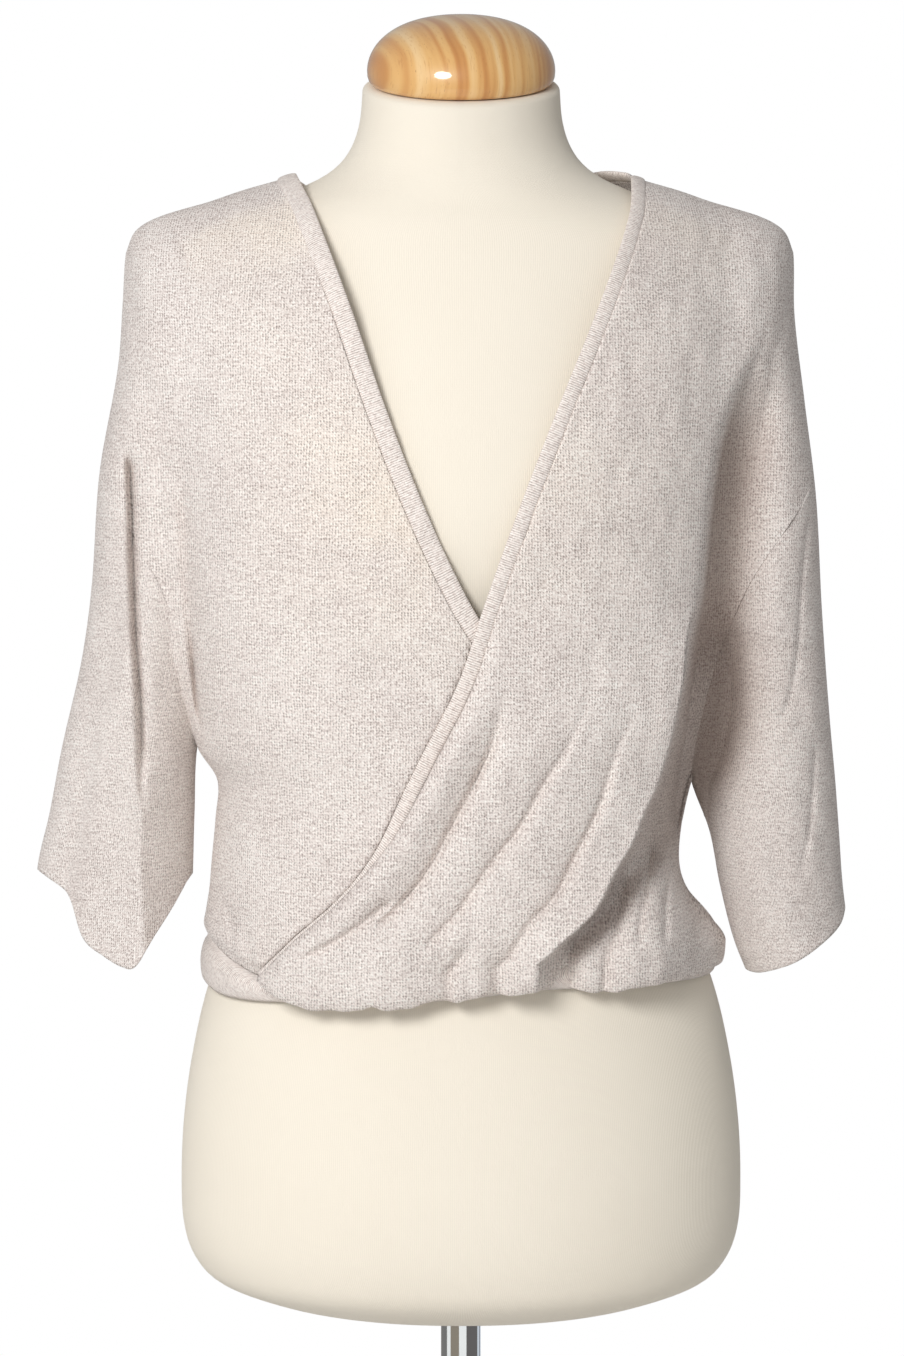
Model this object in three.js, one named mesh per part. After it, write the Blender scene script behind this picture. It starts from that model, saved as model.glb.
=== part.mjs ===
// A fine-knit pullover with a crossover front on a limbless dress form with a wooden neck cap.
// Millimetres. +Z is up, -Y is the front of the form, +X is the side of the overlapping front.
// The origin is the centre of the base's underside, on the axis of the pole.
import * as THREE from 'three';

// ---------------------------------------------------------------- driving sizes

const CLOTH = 1.6;           // wall of the knitted cloth
const SEAM_GAP = 0.35;       // clear space between two pieces that are sewn together
const SIDE_GAP = 0.35;       // half the space between front and back at the closed edges
const ARMHOLE_GAP = 0.45;    // half the space between a sleeve and the body, measured upright

const HEM_TOP = 421;         // about where the body is gathered into the hem band
const HEM_LOW = 401;         // the hem band's lower edge, at its lowest
const BODY_BOTTOM = HEM_TOP + 0.6;
const HEM_SLOPE_TOP = 485;   // above this height the body doesn't follow the hem's rise
const HEM_BAND_WALL = 2;
const HEM_BAND_SIZE = { left: 157.6, right: 154, front: 99.5, back: 108.5 };  // half widths and depths outside
const HEM_BAND_POWER = 2.2;  // 2 is an ellipse, more is squarer
const NECK_BAND_WIDTH = { over: 9, under: 12, back: 10 };
const NECK_BAND_THICK = 3.4;
const OVERLAP_DROP = 7.5;    // how far the under front lies inside the over front
const OVERLAP_START = -34;   // how far beside the over front's edge it starts to sink,
const OVERLAP_END = -14;     // and how far beside it, under the band, it has sunk

const BASE_RADIUS = 150;
const BASE_HEIGHT = 10;
const BASE_CHAMFER = 2;
const POLE_RADIUS = 12.2;
const TORSO_BOTTOM = 200;
const FIT_GAP = 0.3;

const NECK_TOP = 947;
const NECK_TILT = 15;        // degrees that the neck plane leans forward
const CAP_RADIUS = 56.5;
const CAP_HEIGHT = 40;

// The form's horizontal sections. power: 2 is an ellipse, more is squarer.
// close: exponent of the closing curve, 0.5 is round and 0.7 is a sloped shoulder.
const FORM = [
  { z: 200, width: 52, front: 34, back: 38, power: 2.2, close: 0.5 },
  { z: 204, width: 88, front: 58, back: 64, power: 2.2, close: 0.5 },
  { z: 211, width: 119, front: 79, back: 86, power: 2.2, close: 0.5 },
  { z: 222, width: 148, front: 95, back: 105, power: 2.2, close: 0.5 },
  { z: 236, width: 162, front: 102, back: 114, power: 2.2, close: 0.5 },
  { z: 256, width: 169, front: 106, back: 120, power: 2.2, close: 0.5 },
  { z: 285, width: 170.5, front: 107, back: 122, power: 2.2, close: 0.5 },
  { z: 320, width: 169, front: 104, back: 120, power: 2.2, close: 0.5 },
  { z: 358, width: 164, front: 100, back: 114, power: 2.2, close: 0.5 },
  { z: 400, width: 154.5, front: 95, back: 103, power: 2.2, close: 0.5 },
  { z: 445, width: 138, front: 87, back: 86, power: 2.2, close: 0.5 },
  { z: 495, width: 121, front: 82, back: 73, power: 2.2, close: 0.5 },
  { z: 545, width: 125, front: 85, back: 74, power: 2.2, close: 0.5 },
  { z: 600, width: 138, front: 97, back: 82, power: 2.2, close: 0.5 },
  { z: 650, width: 149, front: 111, back: 89, power: 2.2, close: 0.5 },
  { z: 695, width: 154, front: 117, back: 93, power: 2.2, close: 0.5 },
  { z: 735, width: 157, front: 113, back: 96, power: 2.2, close: 0.5 },
  { z: 775, width: 163, front: 103, back: 97, power: 2.2, close: 0.52 },
  { z: 810, width: 172, front: 92, back: 93, power: 2.2, close: 0.58 },
  { z: 838, width: 181, front: 82, back: 86, power: 2.2, close: 0.66 },
  { z: 853, width: 178, front: 76, back: 81, power: 2.2, close: 0.7 },
  { z: 863, width: 161, front: 72, back: 76, power: 2.2, close: 0.7 },
  { z: 873, width: 132, front: 67, back: 66, power: 2.2, close: 0.65 },
  { z: 882, width: 104, front: 64, back: 60, power: 2.1, close: 0.62 },
  { z: 892, width: 82, front: 62, back: 57, power: 2, close: 0.55 },
  { z: 904, width: 69, front: 61, back: 55, power: 2, close: 0.5 },
  { z: 922, width: 61.5, front: 61, back: 55, power: 2, close: 0.5 },
  { z: 947, width: 59, front: 60, back: 55, power: 2, close: 0.5 },
];

// The pullover's body, in horizontal sections: half widths on both sides, depths in front and behind.
const BODY = [
  { z: 402, left: 153, right: 156, front: 109, back: 108 },
  { z: 421, left: 157, right: 161, front: 112, back: 113 },
  { z: 438, left: 155, right: 150, front: 114, back: 118 },
  { z: 456, left: 153, right: 138, front: 113, back: 118 },
  { z: 478, left: 151.5, right: 132.5, front: 112, back: 114 },
  { z: 505, left: 149, right: 134.5, front: 112, back: 109 },
  { z: 528, left: 148, right: 139.4, front: 113, back: 106 },
  { z: 548, left: 160, right: 146, front: 115, back: 104 },
  { z: 600, left: 172, right: 167, front: 119, back: 101 },
  { z: 650, left: 178, right: 175, front: 122, back: 101 },
  { z: 700, left: 181, right: 179, front: 123, back: 103 },
  { z: 740, left: 185, right: 183, front: 120, back: 107 },
  { z: 780, left: 191, right: 189, front: 113, back: 110 },
  { z: 815, left: 198, right: 196, front: 106, back: 110 },
  { z: 856, left: 200, right: 199, front: 100, back: 109 },
  { z: 894, left: 200, right: 199, front: 92, back: 103 },
];
const BODY_POWER = 2.4;      // 2 is an ellipse, more is squarer
const SLEEVE_SOFTNESS = 34;  // how softly the sleeve runs into the body above the underarm

// Each sleeve in horizontal sections: where it starts and ends sideways, and its depths.
const SLEEVE_LEFT = [
  { z: 410, inner: 165, outer: 262, front: 45, back: 44 },
  { z: 474, inner: 163, outer: 257.5, front: 46, back: 45 },
  { z: 507, inner: 162, outer: 250, front: 46, back: 46 },
  { z: 548, inner: 160, outer: 242, front: 47, back: 47 },
  { z: 600, inner: 148, outer: 230, front: 47, back: 48 },
  { z: 646, inner: 141, outer: 223.5, front: 48, back: 48 },
  { z: 713, inner: 139, outer: 218.5, front: 50, back: 50 },
  { z: 777, inner: 142, outer: 207, front: 52, back: 53 },
  { z: 816, inner: 146, outer: 204, front: 52, back: 54 },
  { z: 842, inner: 150, outer: 202.5, front: 52, back: 54 },
  { z: 856, inner: 148, outer: 200, front: 52, back: 54 },
];
const SLEEVE_RIGHT = [
  { z: 405, inner: 176, outer: 240, front: 43, back: 43 },
  { z: 430, inner: 166, outer: 236.5, front: 44, back: 44 },
  { z: 463, inner: 157.5, outer: 232, front: 45, back: 45 },
  { z: 496, inner: 151, outer: 229.5, front: 46, back: 46 },
  { z: 528, inner: 139.4, outer: 227, front: 47, back: 47 },
  { z: 565, inner: 135, outer: 223.5, front: 47, back: 48 },
  { z: 630, inner: 133, outer: 218.5, front: 48, back: 48 },
  { z: 699, inner: 134, outer: 214.5, front: 50, back: 50 },
  { z: 756, inner: 138, outer: 207.3, front: 52, back: 53 },
  { z: 808, inner: 144, outer: 201, front: 52, back: 54 },
  { z: 842, inner: 149, outer: 200.5, front: 52, back: 54 },
  { z: 856, inner: 148, outer: 199, front: 52, back: 54 },
];

// The shoulder line: from the neck point down to the corner where it turns down the overarm.
const SHOULDER_LINE = [
  { x: 110, z: 889 }, { x: 131, z: 883 }, { x: 150, z: 876.5 }, { x: 166, z: 872 }, { x: 180, z: 867.5 },
  { x: 190, z: 862.5 }, { x: 196, z: 856.5 }, { x: 200, z: 846 },
];
const NECK_POINT_X = 110;
const NECK_POINT_Z = 889;
const NECK_SLOPE = 0.37;     // how steeply that line would rise on, towards the middle
const SHOULDER_Z = 846;
const SHOULDER_ROUND = 110;  // the height over which the cloth rounds away from that line

// The dropped armhole seams, from the underarm up to the overarm. c: 0 underarm, 1 overarm.
const ARMHOLE_LEFT = [
  { c: 0, z: 548 }, { c: 0.2, z: 595 }, { c: 0.45, z: 644 }, { c: 0.7, z: 677 }, { c: 0.88, z: 698 }, { c: 1, z: 716 },
];
const ARMHOLE_RIGHT = [
  { c: 0, z: 528 }, { c: 0.2, z: 590 }, { c: 0.45, z: 645 }, { c: 0.7, z: 677 }, { c: 0.88, z: 697 }, { c: 1, z: 714 },
];

// The cuffs' hems, from the inner side to the outer side.
const CUFF_LEFT = [
  { c: 0, front: 472, back: 470 },
  { c: 0.1, front: 453, back: 456 },
  { c: 0.2, front: 437, back: 448 },
  { c: 0.32, front: 418, back: 442 },
  { c: 0.4, front: 418, back: 440 },
  { c: 0.6, front: 430, back: 441 },
  { c: 0.8, front: 458, back: 454 },
  { c: 1, front: 472, back: 472 },
];
const CUFF_RIGHT = [
  { c: 0, front: 412, back: 414 },
  { c: 0.12, front: 413, back: 418 },
  { c: 0.45, front: 421, back: 428 },
  { c: 0.75, front: 433, back: 438 },
  { c: 0.92, front: 442, back: 445 },
  { c: 1, front: 451, back: 451 },
];

// The seam between each front and its neck band, from the shoulder down to the hem.
const OVER_EDGE = [
  { z: 889, x: 110 }, { z: 864, x: 107 }, { z: 812, x: 89 }, { z: 740, x: 60 }, { z: 680, x: 37 },
  { z: 632, x: 20 }, { z: 590, x: 6 }, { z: 548, x: -15 }, { z: 515, x: -32 }, { z: 490, x: -49 },
  { z: 463, x: -74 }, { z: 442, x: -101 }, { z: 421, x: -121 }, { z: 402, x: -127 },
];
const UNDER_EDGE = [
  { z: 889, x: -110 }, { z: 866, x: -98 }, { z: 812, x: -77 }, { z: 748, x: -54.5 }, { z: 699, x: -35.5 },
  { z: 662, x: -19 }, { z: 634, x: -5 }, { z: 590, x: 22 }, { z: 540, x: 48 }, { z: 490, x: 74 },
  { z: 450, x: 93 }, { z: 421, x: 106 },
];
const BACK_NECK_Z = 876;     // centre of the back neckline

// The back neckline from side to side. It lies lower at the left.
const BACK_NECK = [
  { x: -110, z: 889 }, { x: -98, z: 881 }, { x: -84, z: 877 }, { x: -50, z: 875 }, { x: 0, z: 876 },
  { x: 50, z: 882 }, { x: 76, z: 888 }, { x: 92, z: 891 }, { x: 110, z: 889 },
];

// How much higher the body's edge and the hem band's lower edge hang than their two heights above.
const HEM_RISE = [
  { x: -165, body: 11.5, band: 5 },
  { x: -157, body: 11.5, band: 5 },
  { x: -148, body: 8, band: 1.5 },
  { x: -135, body: 1, band: 0 },
  { x: -119, body: -5, band: 0 },
  { x: -100, body: -6, band: 1 },
  { x: -60, body: -2, band: 2 },
  { x: 0, body: 3.5, band: 5 },
  { x: 45, body: 9, band: 10 },
  { x: 165, body: 9, band: 10.5 },
];

// The folds of the over front, each a trough through three points from top to bottom.
const FOLDS = [
  { topX: 24, topZ: 585, midX: -8, midZ: 506, lowX: -96, lowZ: 432, depth: 6, width: 8 },
  { topX: 70, topZ: 585, midX: 26, midZ: 500, lowX: -22, lowZ: 434, depth: 7, width: 8 },
  { topX: 97, topZ: 580, midX: 63, midZ: 485, lowX: 12, lowZ: 412, depth: 7, width: 8 },
  { topX: 121, topZ: 575, midX: 90, midZ: 484, lowX: 36, lowZ: 414, depth: 9, width: 10 },
];
const FOLD_LIFT = 8;         // how far the folded area stands out from the body

// The blouson's fold below the over front: how far it falls, and how far it turns back in.
const ROLL = [{ fall: 7, inward: 7 }, { fall: 14, inward: 6 }, { fall: 16, inward: 3 }, { fall: 9, inward: 0.5 }];
const ROLL_SIDEWAYS = 0.002; // how much narrower it gets for each millimetre that it turns in
const ROLL_LEFT = { start: -126, full: -98, least: 0.25 };  // it starts small at its left end

const SLEEVE_SIDES = 20;
const SLEEVE_ROWS = 7;
const SIDE_ROWS = 6;                    // mesh rows of a front or back: side seam,
const ARMHOLE_ROWS = SLEEVE_SIDES / 2;  // armhole seam, which matches the sleeve's columns,
const OVERARM_ROWS = 6;                 // and overarm
const FRONT_COLUMNS = 16;
const BACK_COLUMNS = 24;
const FORM_SIDES = 40;
const TOP_ROWS = 5;                     // how closely only the top rows follow the shoulder line, as a power

const MATERIALS = {
  knit: { color: 0xcfc5c0, roughness: 0.95, metalness: 0 },
  jersey: { color: 0xf1ebdc, roughness: 0.9, metalness: 0 },
  wood: { color: 0xd9a868, roughness: 0.3, metalness: 0 },
  chrome: { color: 0xc9cdd0, roughness: 0.12, metalness: 1 },
  steel: { color: 0xd9dadb, roughness: 0.4, metalness: 0.6 },
};

// ---------------------------------------------------------------- small helpers

const mix = (a, b, t) => a + (b - a) * t;
const vec = (x, y, z) => new THREE.Vector3(x, y, z);
const range = (n) => [...Array(n).keys()];

function smoothStep(from, to, value) {
  const t = Math.min(Math.max((value - from) / (to - from), 0), 1);
  return t * t * (3 - 2 * t);
}

// A smooth curve through a table's rows: key is the column that it runs along.
function curve(rows, key, column) {
  const sorted = [...rows].sort((a, b) => a[key] - b[key]);
  const at = (i) => sorted[Math.min(Math.max(i, 0), sorted.length - 1)];
  const slope = (i) => {
    const low = at(i - 1);
    const high = at(i + 1);
    return (high[column] - low[column]) / (high[key] - low[key]);
  };
  return (value) => {
    const v = Math.min(Math.max(value, sorted[0][key]), sorted[sorted.length - 1][key]);
    let i = 0;
    while (i < sorted.length - 2 && sorted[i + 1][key] < v) i += 1;
    const span = sorted[i + 1][key] - sorted[i][key];
    const t = (v - sorted[i][key]) / span;
    const h1 = t * t * (3 - 2 * t);
    const h2 = t * (1 - t) * (1 - t) * span;
    const h3 = t * t * (t - 1) * span;
    return mix(sorted[i][column], sorted[i + 1][column], h1) + h2 * slope(i) + h3 * slope(i + 1);
  };
}

function curves(rows, key, columns) {
  return Object.fromEntries(columns.map((name) => [name, curve(rows, key, name)]));
}

// ---------------------------------------------------------------- the drape

const body = curves(BODY, 'z', ['left', 'right', 'front', 'back']);
const arm = {
  left: curves(SLEEVE_LEFT, 'z', ['inner', 'outer', 'front', 'back']),
  right: curves(SLEEVE_RIGHT, 'z', ['inner', 'outer', 'front', 'back']),
};
const armhole = {
  left: curve(ARMHOLE_LEFT, 'c', 'z'),
  right: curve(ARMHOLE_RIGHT, 'c', 'z'),
};
const cuff = {
  left: curves(CUFF_LEFT, 'c', ['front', 'back']),
  right: curves(CUFF_RIGHT, 'c', ['front', 'back']),
};
const overEdge = curve(OVER_EDGE, 'z', 'x');
const underEdge = curve(UNDER_EDGE, 'z', 'x');
const shoulderLine = curve(SHOULDER_LINE, 'x', 'z');
const hemRise = curves(HEM_RISE, 'x', ['body', 'band']);
const backNeck = curve(BACK_NECK, 'x', 'z');

// Two depths joined as cloth spans them: sharp at the underarm, softer above it.
function joined(a, b, softness) {
  if (softness <= 0) return Math.max(a, b);
  const near = Math.max(softness - Math.abs(a - b), 0) / softness;
  const inside = Math.min(Math.min(a, b) / softness, 1);
  return Math.max(a, b) + near * near * inside * softness / 4;
}

// The height of the shoulder line above x.
const shoulderZ = (x) => shoulderLine(Math.abs(x)) + NECK_SLOPE * Math.max(NECK_POINT_X - Math.abs(x), 0);

// How far the cloth stands in front of (or behind) the plane of the side seams at x, z.
function depth(x, z, face) {
  const side = x < 0 ? 'left' : 'right';
  const out = Math.abs(x);
  const ofBody = 1 - (out / body[side](z)) ** BODY_POWER;
  const bodyDepth = body[face](z) * Math.sqrt(Math.max(ofBody, 0));
  const inner = arm[side].inner(z);
  const c = (out - inner) / (arm[side].outer(z) - inner);
  const armDepth = arm[side][face](z) * Math.sqrt(Math.max(4 * c * (1 - c), 0));
  const underarm = armhole[side](0);
  const below = Math.min(Math.max(shoulderZ(x) - z, 0) / SHOULDER_ROUND, 1);
  const rounding = Math.sqrt(1 - (1 - below) ** 2);
  return rounding * joined(bodyDepth, armDepth, SLEEVE_SOFTNESS * smoothStep(underarm, underarm + 70, z));
}

// The folds that sweep from the viewer's right down to the hem, as an outward lift.
function foldLift(x, z) {
  const area = smoothStep(600, 545, z) * smoothStep(140, 112, x) * smoothStep(2, 26, x - overEdge(z));
  let lift = FOLD_LIFT;
  for (const fold of FOLDS) {
    const centre = curve([
      { z: fold.topZ, x: fold.topX }, { z: fold.midZ, x: fold.midX }, { z: fold.lowZ, x: fold.lowX },
    ], 'z', 'x');
    const away = (x - centre(z)) * 0.8 / fold.width;
    const along = smoothStep(fold.topZ + 5, fold.topZ - 35, z) * smoothStep(fold.lowZ - 25, fold.lowZ, z);
    lift -= fold.depth * along * Math.exp(-away * away);
  }
  return Math.max(lift, 0) * area;
}

// The height of a point once the lowest part of the body follows the hem's rise.
const risen = (x, z) => z + hemRise.body(x) * smoothStep(HEM_SLOPE_TOP, HEM_TOP, z);

const overFront = (x, z) => vec(x, -SIDE_GAP - depth(x, z, 'front') - foldLift(x, z), risen(x, z));
const backFace = (x, z) => vec(x, SIDE_GAP + depth(x, z, 'back'), risen(x, z));
function underFront(x, z) {
  const sunk = OVERLAP_DROP * smoothStep(OVERLAP_START, OVERLAP_END, x - overEdge(z));
  return vec(x, -SIDE_GAP - depth(x, z, 'front') + sunk, risen(x, z));
}

// ---------------------------------------------------------------- making solids

// A closed body from a grid of points on its outer face, as a wall of even thickness.
// tube: the columns run round and join. At the side plane the wall is square to that plane.
function wall(grid, thickness, tube = false) {
  const rows = grid.length;
  const columns = grid[0].length;
  const column = (j) => (tube ? (j + columns) % columns : Math.min(Math.max(j, 0), columns - 1));
  const row = (i) => Math.min(Math.max(i, 0), rows - 1);
  const middle = grid.flat().reduce((sum, p) => sum.add(p), vec(0, 0, 0)).divideScalar(rows * columns);
  const normals = grid.map((line, i) => line.map((point, j) => {
    const across = grid[i][column(j + 1)].clone().sub(grid[i][column(j - 1)]);
    const along = grid[row(i + 1)][j].clone().sub(grid[row(i - 1)][j]);
    const normal = across.cross(along);
    if (Math.abs(point.y) < 2 * SIDE_GAP) normal.y = 0;
    return normal.normalize();
  }));
  const facing = grid.flat().reduce((sum, p, k) => {
    const normal = normals[Math.floor(k / columns)][k % columns];
    return sum + normal.dot(p.clone().sub(middle));
  }, 0);
  if (facing < 0) normals.flat().forEach((normal) => normal.negate());
  const outer = grid.flat();
  const inner = outer.map((p, k) => {
    const normal = normals[Math.floor(k / columns)][k % columns];
    return p.clone().addScaledVector(normal, -thickness);
  });
  const points = [...outer, ...inner];
  const faces = [];
  const quad = (a, b, c, d) => faces.push(a, b, c, a, c, d);
  const at = (i, j) => i * columns + column(j);
  const under = outer.length;
  const lastColumn = tube ? columns : columns - 1;
  for (let i = 0; i < rows - 1; i += 1) {
    for (let j = 0; j < lastColumn; j += 1) {
      quad(at(i, j), at(i, j + 1), at(i + 1, j + 1), at(i + 1, j));
      quad(under + at(i, j), under + at(i + 1, j), under + at(i + 1, j + 1), under + at(i, j + 1));
    }
    if (!tube) {
      quad(at(i, 0), at(i + 1, 0), under + at(i + 1, 0), under + at(i, 0));
      quad(at(i, columns - 1), under + at(i, columns - 1), under + at(i + 1, columns - 1), at(i + 1, columns - 1));
    }
  }
  for (let j = 0; j < lastColumn; j += 1) {
    quad(at(0, j), under + at(0, j), under + at(0, j + 1), at(0, j + 1));
    quad(at(rows - 1, j), at(rows - 1, j + 1), under + at(rows - 1, j + 1), under + at(rows - 1, j));
  }
  return solid(points, faces);
}

// A closed body swept through rings of points, with flat or no ends.
function loft(rings, closedLoop = false) {
  const sides = rings[0].length;
  const points = rings.flat();
  const faces = [];
  const count = closedLoop ? rings.length : rings.length - 1;
  for (let i = 0; i < count; i += 1) {
    const next = (i + 1) % rings.length;
    for (let j = 0; j < sides; j += 1) {
      const k = (j + 1) % sides;
      faces.push(i * sides + j, i * sides + k, next * sides + k);
      faces.push(i * sides + j, next * sides + k, next * sides + j);
    }
  }
  if (!closedLoop) {
    const last = (rings.length - 1) * sides;
    for (let j = 1; j < sides - 1; j += 1) {
      faces.push(0, j + 1, j);
      faces.push(last, last + j, last + j + 1);
    }
  }
  return solid(points, faces);
}

// A geometry from points and triangles, turned so that its faces point out.
function solid(points, faces) {
  let volume = 0;
  for (let k = 0; k < faces.length; k += 3) {
    const [a, b, c] = [points[faces[k]], points[faces[k + 1]], points[faces[k + 2]]];
    volume += a.dot(b.clone().cross(c));
  }
  const index = [...faces];
  if (volume < 0) index.reverse();
  const geometry = new THREE.BufferGeometry();
  geometry.setAttribute('position', new THREE.Float32BufferAttribute(points.flatMap((p) => p.toArray()), 3));
  geometry.setIndex(index);
  return geometry;
}

// A flat knitted band beside an edge: each station has a point, a normal and an outward direction.
function band(stations, width) {
  const sides = 8;
  const rings = stations.map(({ point, normal, outward }) => {
    const centre = point.clone()
      .addScaledVector(outward, width / 2 + SEAM_GAP)
      .addScaledVector(normal, -CLOTH / 2);
    return range(sides).map((k) => {
      const turn = (k + 0.5) * 2 * Math.PI / sides;
      return centre.clone()
        .addScaledVector(outward, Math.cos(turn) / Math.cos(Math.PI / sides) * width / 2)
        .addScaledVector(normal, Math.sin(turn) * NECK_BAND_THICK / 2);
    });
  });
  return loft(rings);
}

// ---------------------------------------------------------------- the pullover's pieces

// The outer outline of one side, from the hem to the shoulder corner, as x and z.
function outline(side) {
  const sign = side === 'left' ? -1 : 1;
  const inner = arm[side].inner;
  const outer = arm[side].outer;
  const underarm = armhole[side](0);
  const overarm = armhole[side](1) + ARMHOLE_GAP;
  const points = [];
  for (const i of range(SIDE_ROWS)) {
    const z = mix(BODY_BOTTOM, underarm, i / SIDE_ROWS);
    points.push([sign * body[side](z), z]);
  }
  for (const i of range(ARMHOLE_ROWS)) {
    const c = aroundSleeve(i);
    const z = armhole[side](c) + ARMHOLE_GAP;
    points.push([sign * mix(inner(z), outer(z), c), z]);
  }
  for (const i of range(OVERARM_ROWS + 1)) {
    const z = mix(overarm, SHOULDER_Z, Math.sin(i / OVERARM_ROWS * Math.PI / 2));
    points.push([sign * outer(z), z]);
  }
  return points;
}

// How far across a sleeve its column j lies, from the inner side at 0 to the outer side at 1.
function aroundSleeve(j) {
  return (1 - Math.cos(j / SLEEVE_SIDES * 2 * Math.PI)) / 2;
}

// Rows of a front from its neck edge to its outline. The columns crowd towards the outline.
function frontRows(side, edge, surface) {
  const stretch = (NECK_POINT_Z - BODY_BOTTOM) / (SHOULDER_Z - BODY_BOTTOM);
  const rim = outline(side);
  const corner = rim[rim.length - 1];
  return rim.map(([rimX, rimZ], i) => {
    const edgeZ = mix(BODY_BOTTOM, rimZ, stretch);
    const top = (i / (rim.length - 1)) ** TOP_ROWS;
    return range(FRONT_COLUMNS + 1).map((j) => {
      const s = Math.sin(j / FRONT_COLUMNS * Math.PI / 2);
      const crown = shoulderZ(mix(edge(NECK_POINT_Z), corner[0], s)) - mix(NECK_POINT_Z, SHOULDER_Z, s);
      return surface(mix(edge(edgeZ), rimX, s), mix(edgeZ, rimZ, s) + crown * top);
    });
  });
}

// The over front's blouson: rows below the lowest one that fall over the hem band and turn in.
function rollRows(lowest) {
  return ROLL.map(({ fall, inward }) => lowest.map((p, j) => {
    const grown = mix(ROLL_LEFT.least, 1, smoothStep(ROLL_LEFT.start, ROLL_LEFT.full, p.x));
    const share = grown * (1 - (j / FRONT_COLUMNS) ** 3);
    return vec(p.x * (1 - ROLL_SIDEWAYS * inward * share), p.y + inward * share, p.z - fall * share);
  }));
}

// Rows of the back from side to side.
function backRows() {
  const leftRim = outline('left');
  const rightRim = outline('right');
  const last = leftRim.length - 1;
  return leftRim.map((leftPoint, i) => {
    const rightPoint = rightRim[i];
    const up = i / last;
    const centreZ = mix(BODY_BOTTOM, BACK_NECK_Z, (leftPoint[1] - BODY_BOTTOM) / (SHOULDER_Z - BODY_BOTTOM));
    return range(BACK_COLUMNS + 1).map((j) => {
      const s = Math.sin((j / BACK_COLUMNS * 2 - 1) * Math.PI / 2);
      const rim = s < 0 ? leftPoint : rightPoint;
      const away = Math.abs(s);
      const topX = away * (s < 0 ? leftRim : rightRim)[last][0];
      const top = Math.abs(topX) < NECK_POINT_X ? backNeck(topX) : shoulderZ(topX);
      const crown = top - mix(BACK_NECK_Z, SHOULDER_Z, away);
      return backFace(away * rim[0], mix(centreZ, rim[1], away) + crown * up ** TOP_ROWS);
    });
  });
}

// A sleeve from its armhole seam to its cuff, as rings of points.
function sleeveRings(side) {
  const sign = side === 'left' ? -1 : 1;
  return range(SLEEVE_ROWS + 1).map((i) => range(SLEEVE_SIDES).map((j) => {
    const c = aroundSleeve(j);
    const face = j <= SLEEVE_SIDES / 2 ? 'front' : 'back';
    const z = mix(armhole[side](c) - ARMHOLE_GAP, cuff[side][face](c), i / SLEEVE_ROWS);
    const x = sign * mix(arm[side].inner(z), arm[side].outer(z), c);
    const closed = j === 0 || j === SLEEVE_SIDES / 2;
    const y = closed ? 0 : SIDE_GAP + depth(x, z, face);
    return vec(x, face === 'front' ? -y : y, z);
  }));
}

// The stations of a band beside the first column of a front's grid.
function frontBandStations(grid, fromRow) {
  return range(grid.length - fromRow).map((k) => {
    const i = k + fromRow;
    const point = grid[i][0];
    const along = grid[Math.min(i + 1, grid.length - 1)][0].clone().sub(grid[Math.max(i - 1, fromRow)][0]);
    const inward = grid[i][1].clone().sub(point);
    return station(point, along, inward);
  });
}

// The stations of the band above the back's neckline.
function backBandStations(grid) {
  const top = grid[grid.length - 1];
  const below = grid[grid.length - 2];
  const inside = range(top.length).filter((j) => Math.abs(top[j].x) < NECK_POINT_X - 4);
  return inside.map((j) => {
    const along = top[j + 1].clone().sub(top[j - 1]);
    const inward = below[j].clone().sub(top[j]);
    return station(top[j], along, inward);
  });
}

function station(point, along, inward) {
  const tangent = along.normalize();
  const outward = inward.clone().addScaledVector(tangent, -inward.dot(tangent)).normalize().negate();
  const normal = tangent.clone().cross(outward).normalize();
  const away = vec(point.x, point.y, 0);
  if (normal.dot(away) < 0) normal.negate();
  return { point, normal, outward };
}

// The elastic hem band: an upright ring just clear of the form's hips.
function hemBand() {
  const sides = 48;
  return wall([0, 0.5, 1].map((level) => range(sides).map((k) => {
    const turn = k / sides * 2 * Math.PI;
    const c = Math.cos(turn);
    const s = Math.sin(turn);
    const deep = s < 0 ? HEM_BAND_SIZE.front : HEM_BAND_SIZE.back;
    const round = (value) => Math.sign(value) * Math.abs(value) ** (2 / HEM_BAND_POWER);
    const x = (c < 0 ? HEM_BAND_SIZE.left : HEM_BAND_SIZE.right) * round(c);
    const z = mix(HEM_LOW + hemRise.band(x), HEM_TOP - SEAM_GAP + hemRise.body(x), level);
    return vec(x, deep * round(s), z);
  })), HEM_BAND_WALL, true);
}

// ---------------------------------------------------------------- the form and its stand

function torso() {
  const lean = Math.tan(NECK_TILT * Math.PI / 180);
  return loft(FORM.map((row) => range(FORM_SIDES).map((k) => {
    const turn = k / FORM_SIDES * 2 * Math.PI;
    const across = Math.cos(turn);
    const x = row.width * Math.sign(across) * Math.abs(across) ** (2 / row.power);
    const open = Math.max(1 - Math.abs(x / row.width) ** row.power, 0) ** row.close;
    const y = (turn < Math.PI ? row.back : -row.front) * open;
    const tilt = lean * smoothStep(890, NECK_TOP, row.z);
    return vec(x, y, row.z + y * tilt);
  })));
}

function neckCap() {
  const profile = [[0, 0], [CAP_RADIUS - 4, 0], [CAP_RADIUS - 1, 2.5], [CAP_RADIUS, 8]];
  for (const k of range(8)) {
    const turn = (k + 1) / 8 * Math.PI / 2;
    profile.push([CAP_RADIUS * Math.cos(turn) ** 0.8, 8 + (CAP_HEIGHT - 8) * Math.sin(turn)]);
  }
  profile[profile.length - 1][0] = 0;
  return upright(profile, 40);
}

// A turned shape from a profile of radius and height.
function upright(profile, sides) {
  const shape = profile.map(([radius, height]) => new THREE.Vector2(radius, height));
  const geometry = new THREE.LatheGeometry(shape, sides);
  geometry.rotateX(Math.PI / 2);
  return geometry;
}

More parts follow.
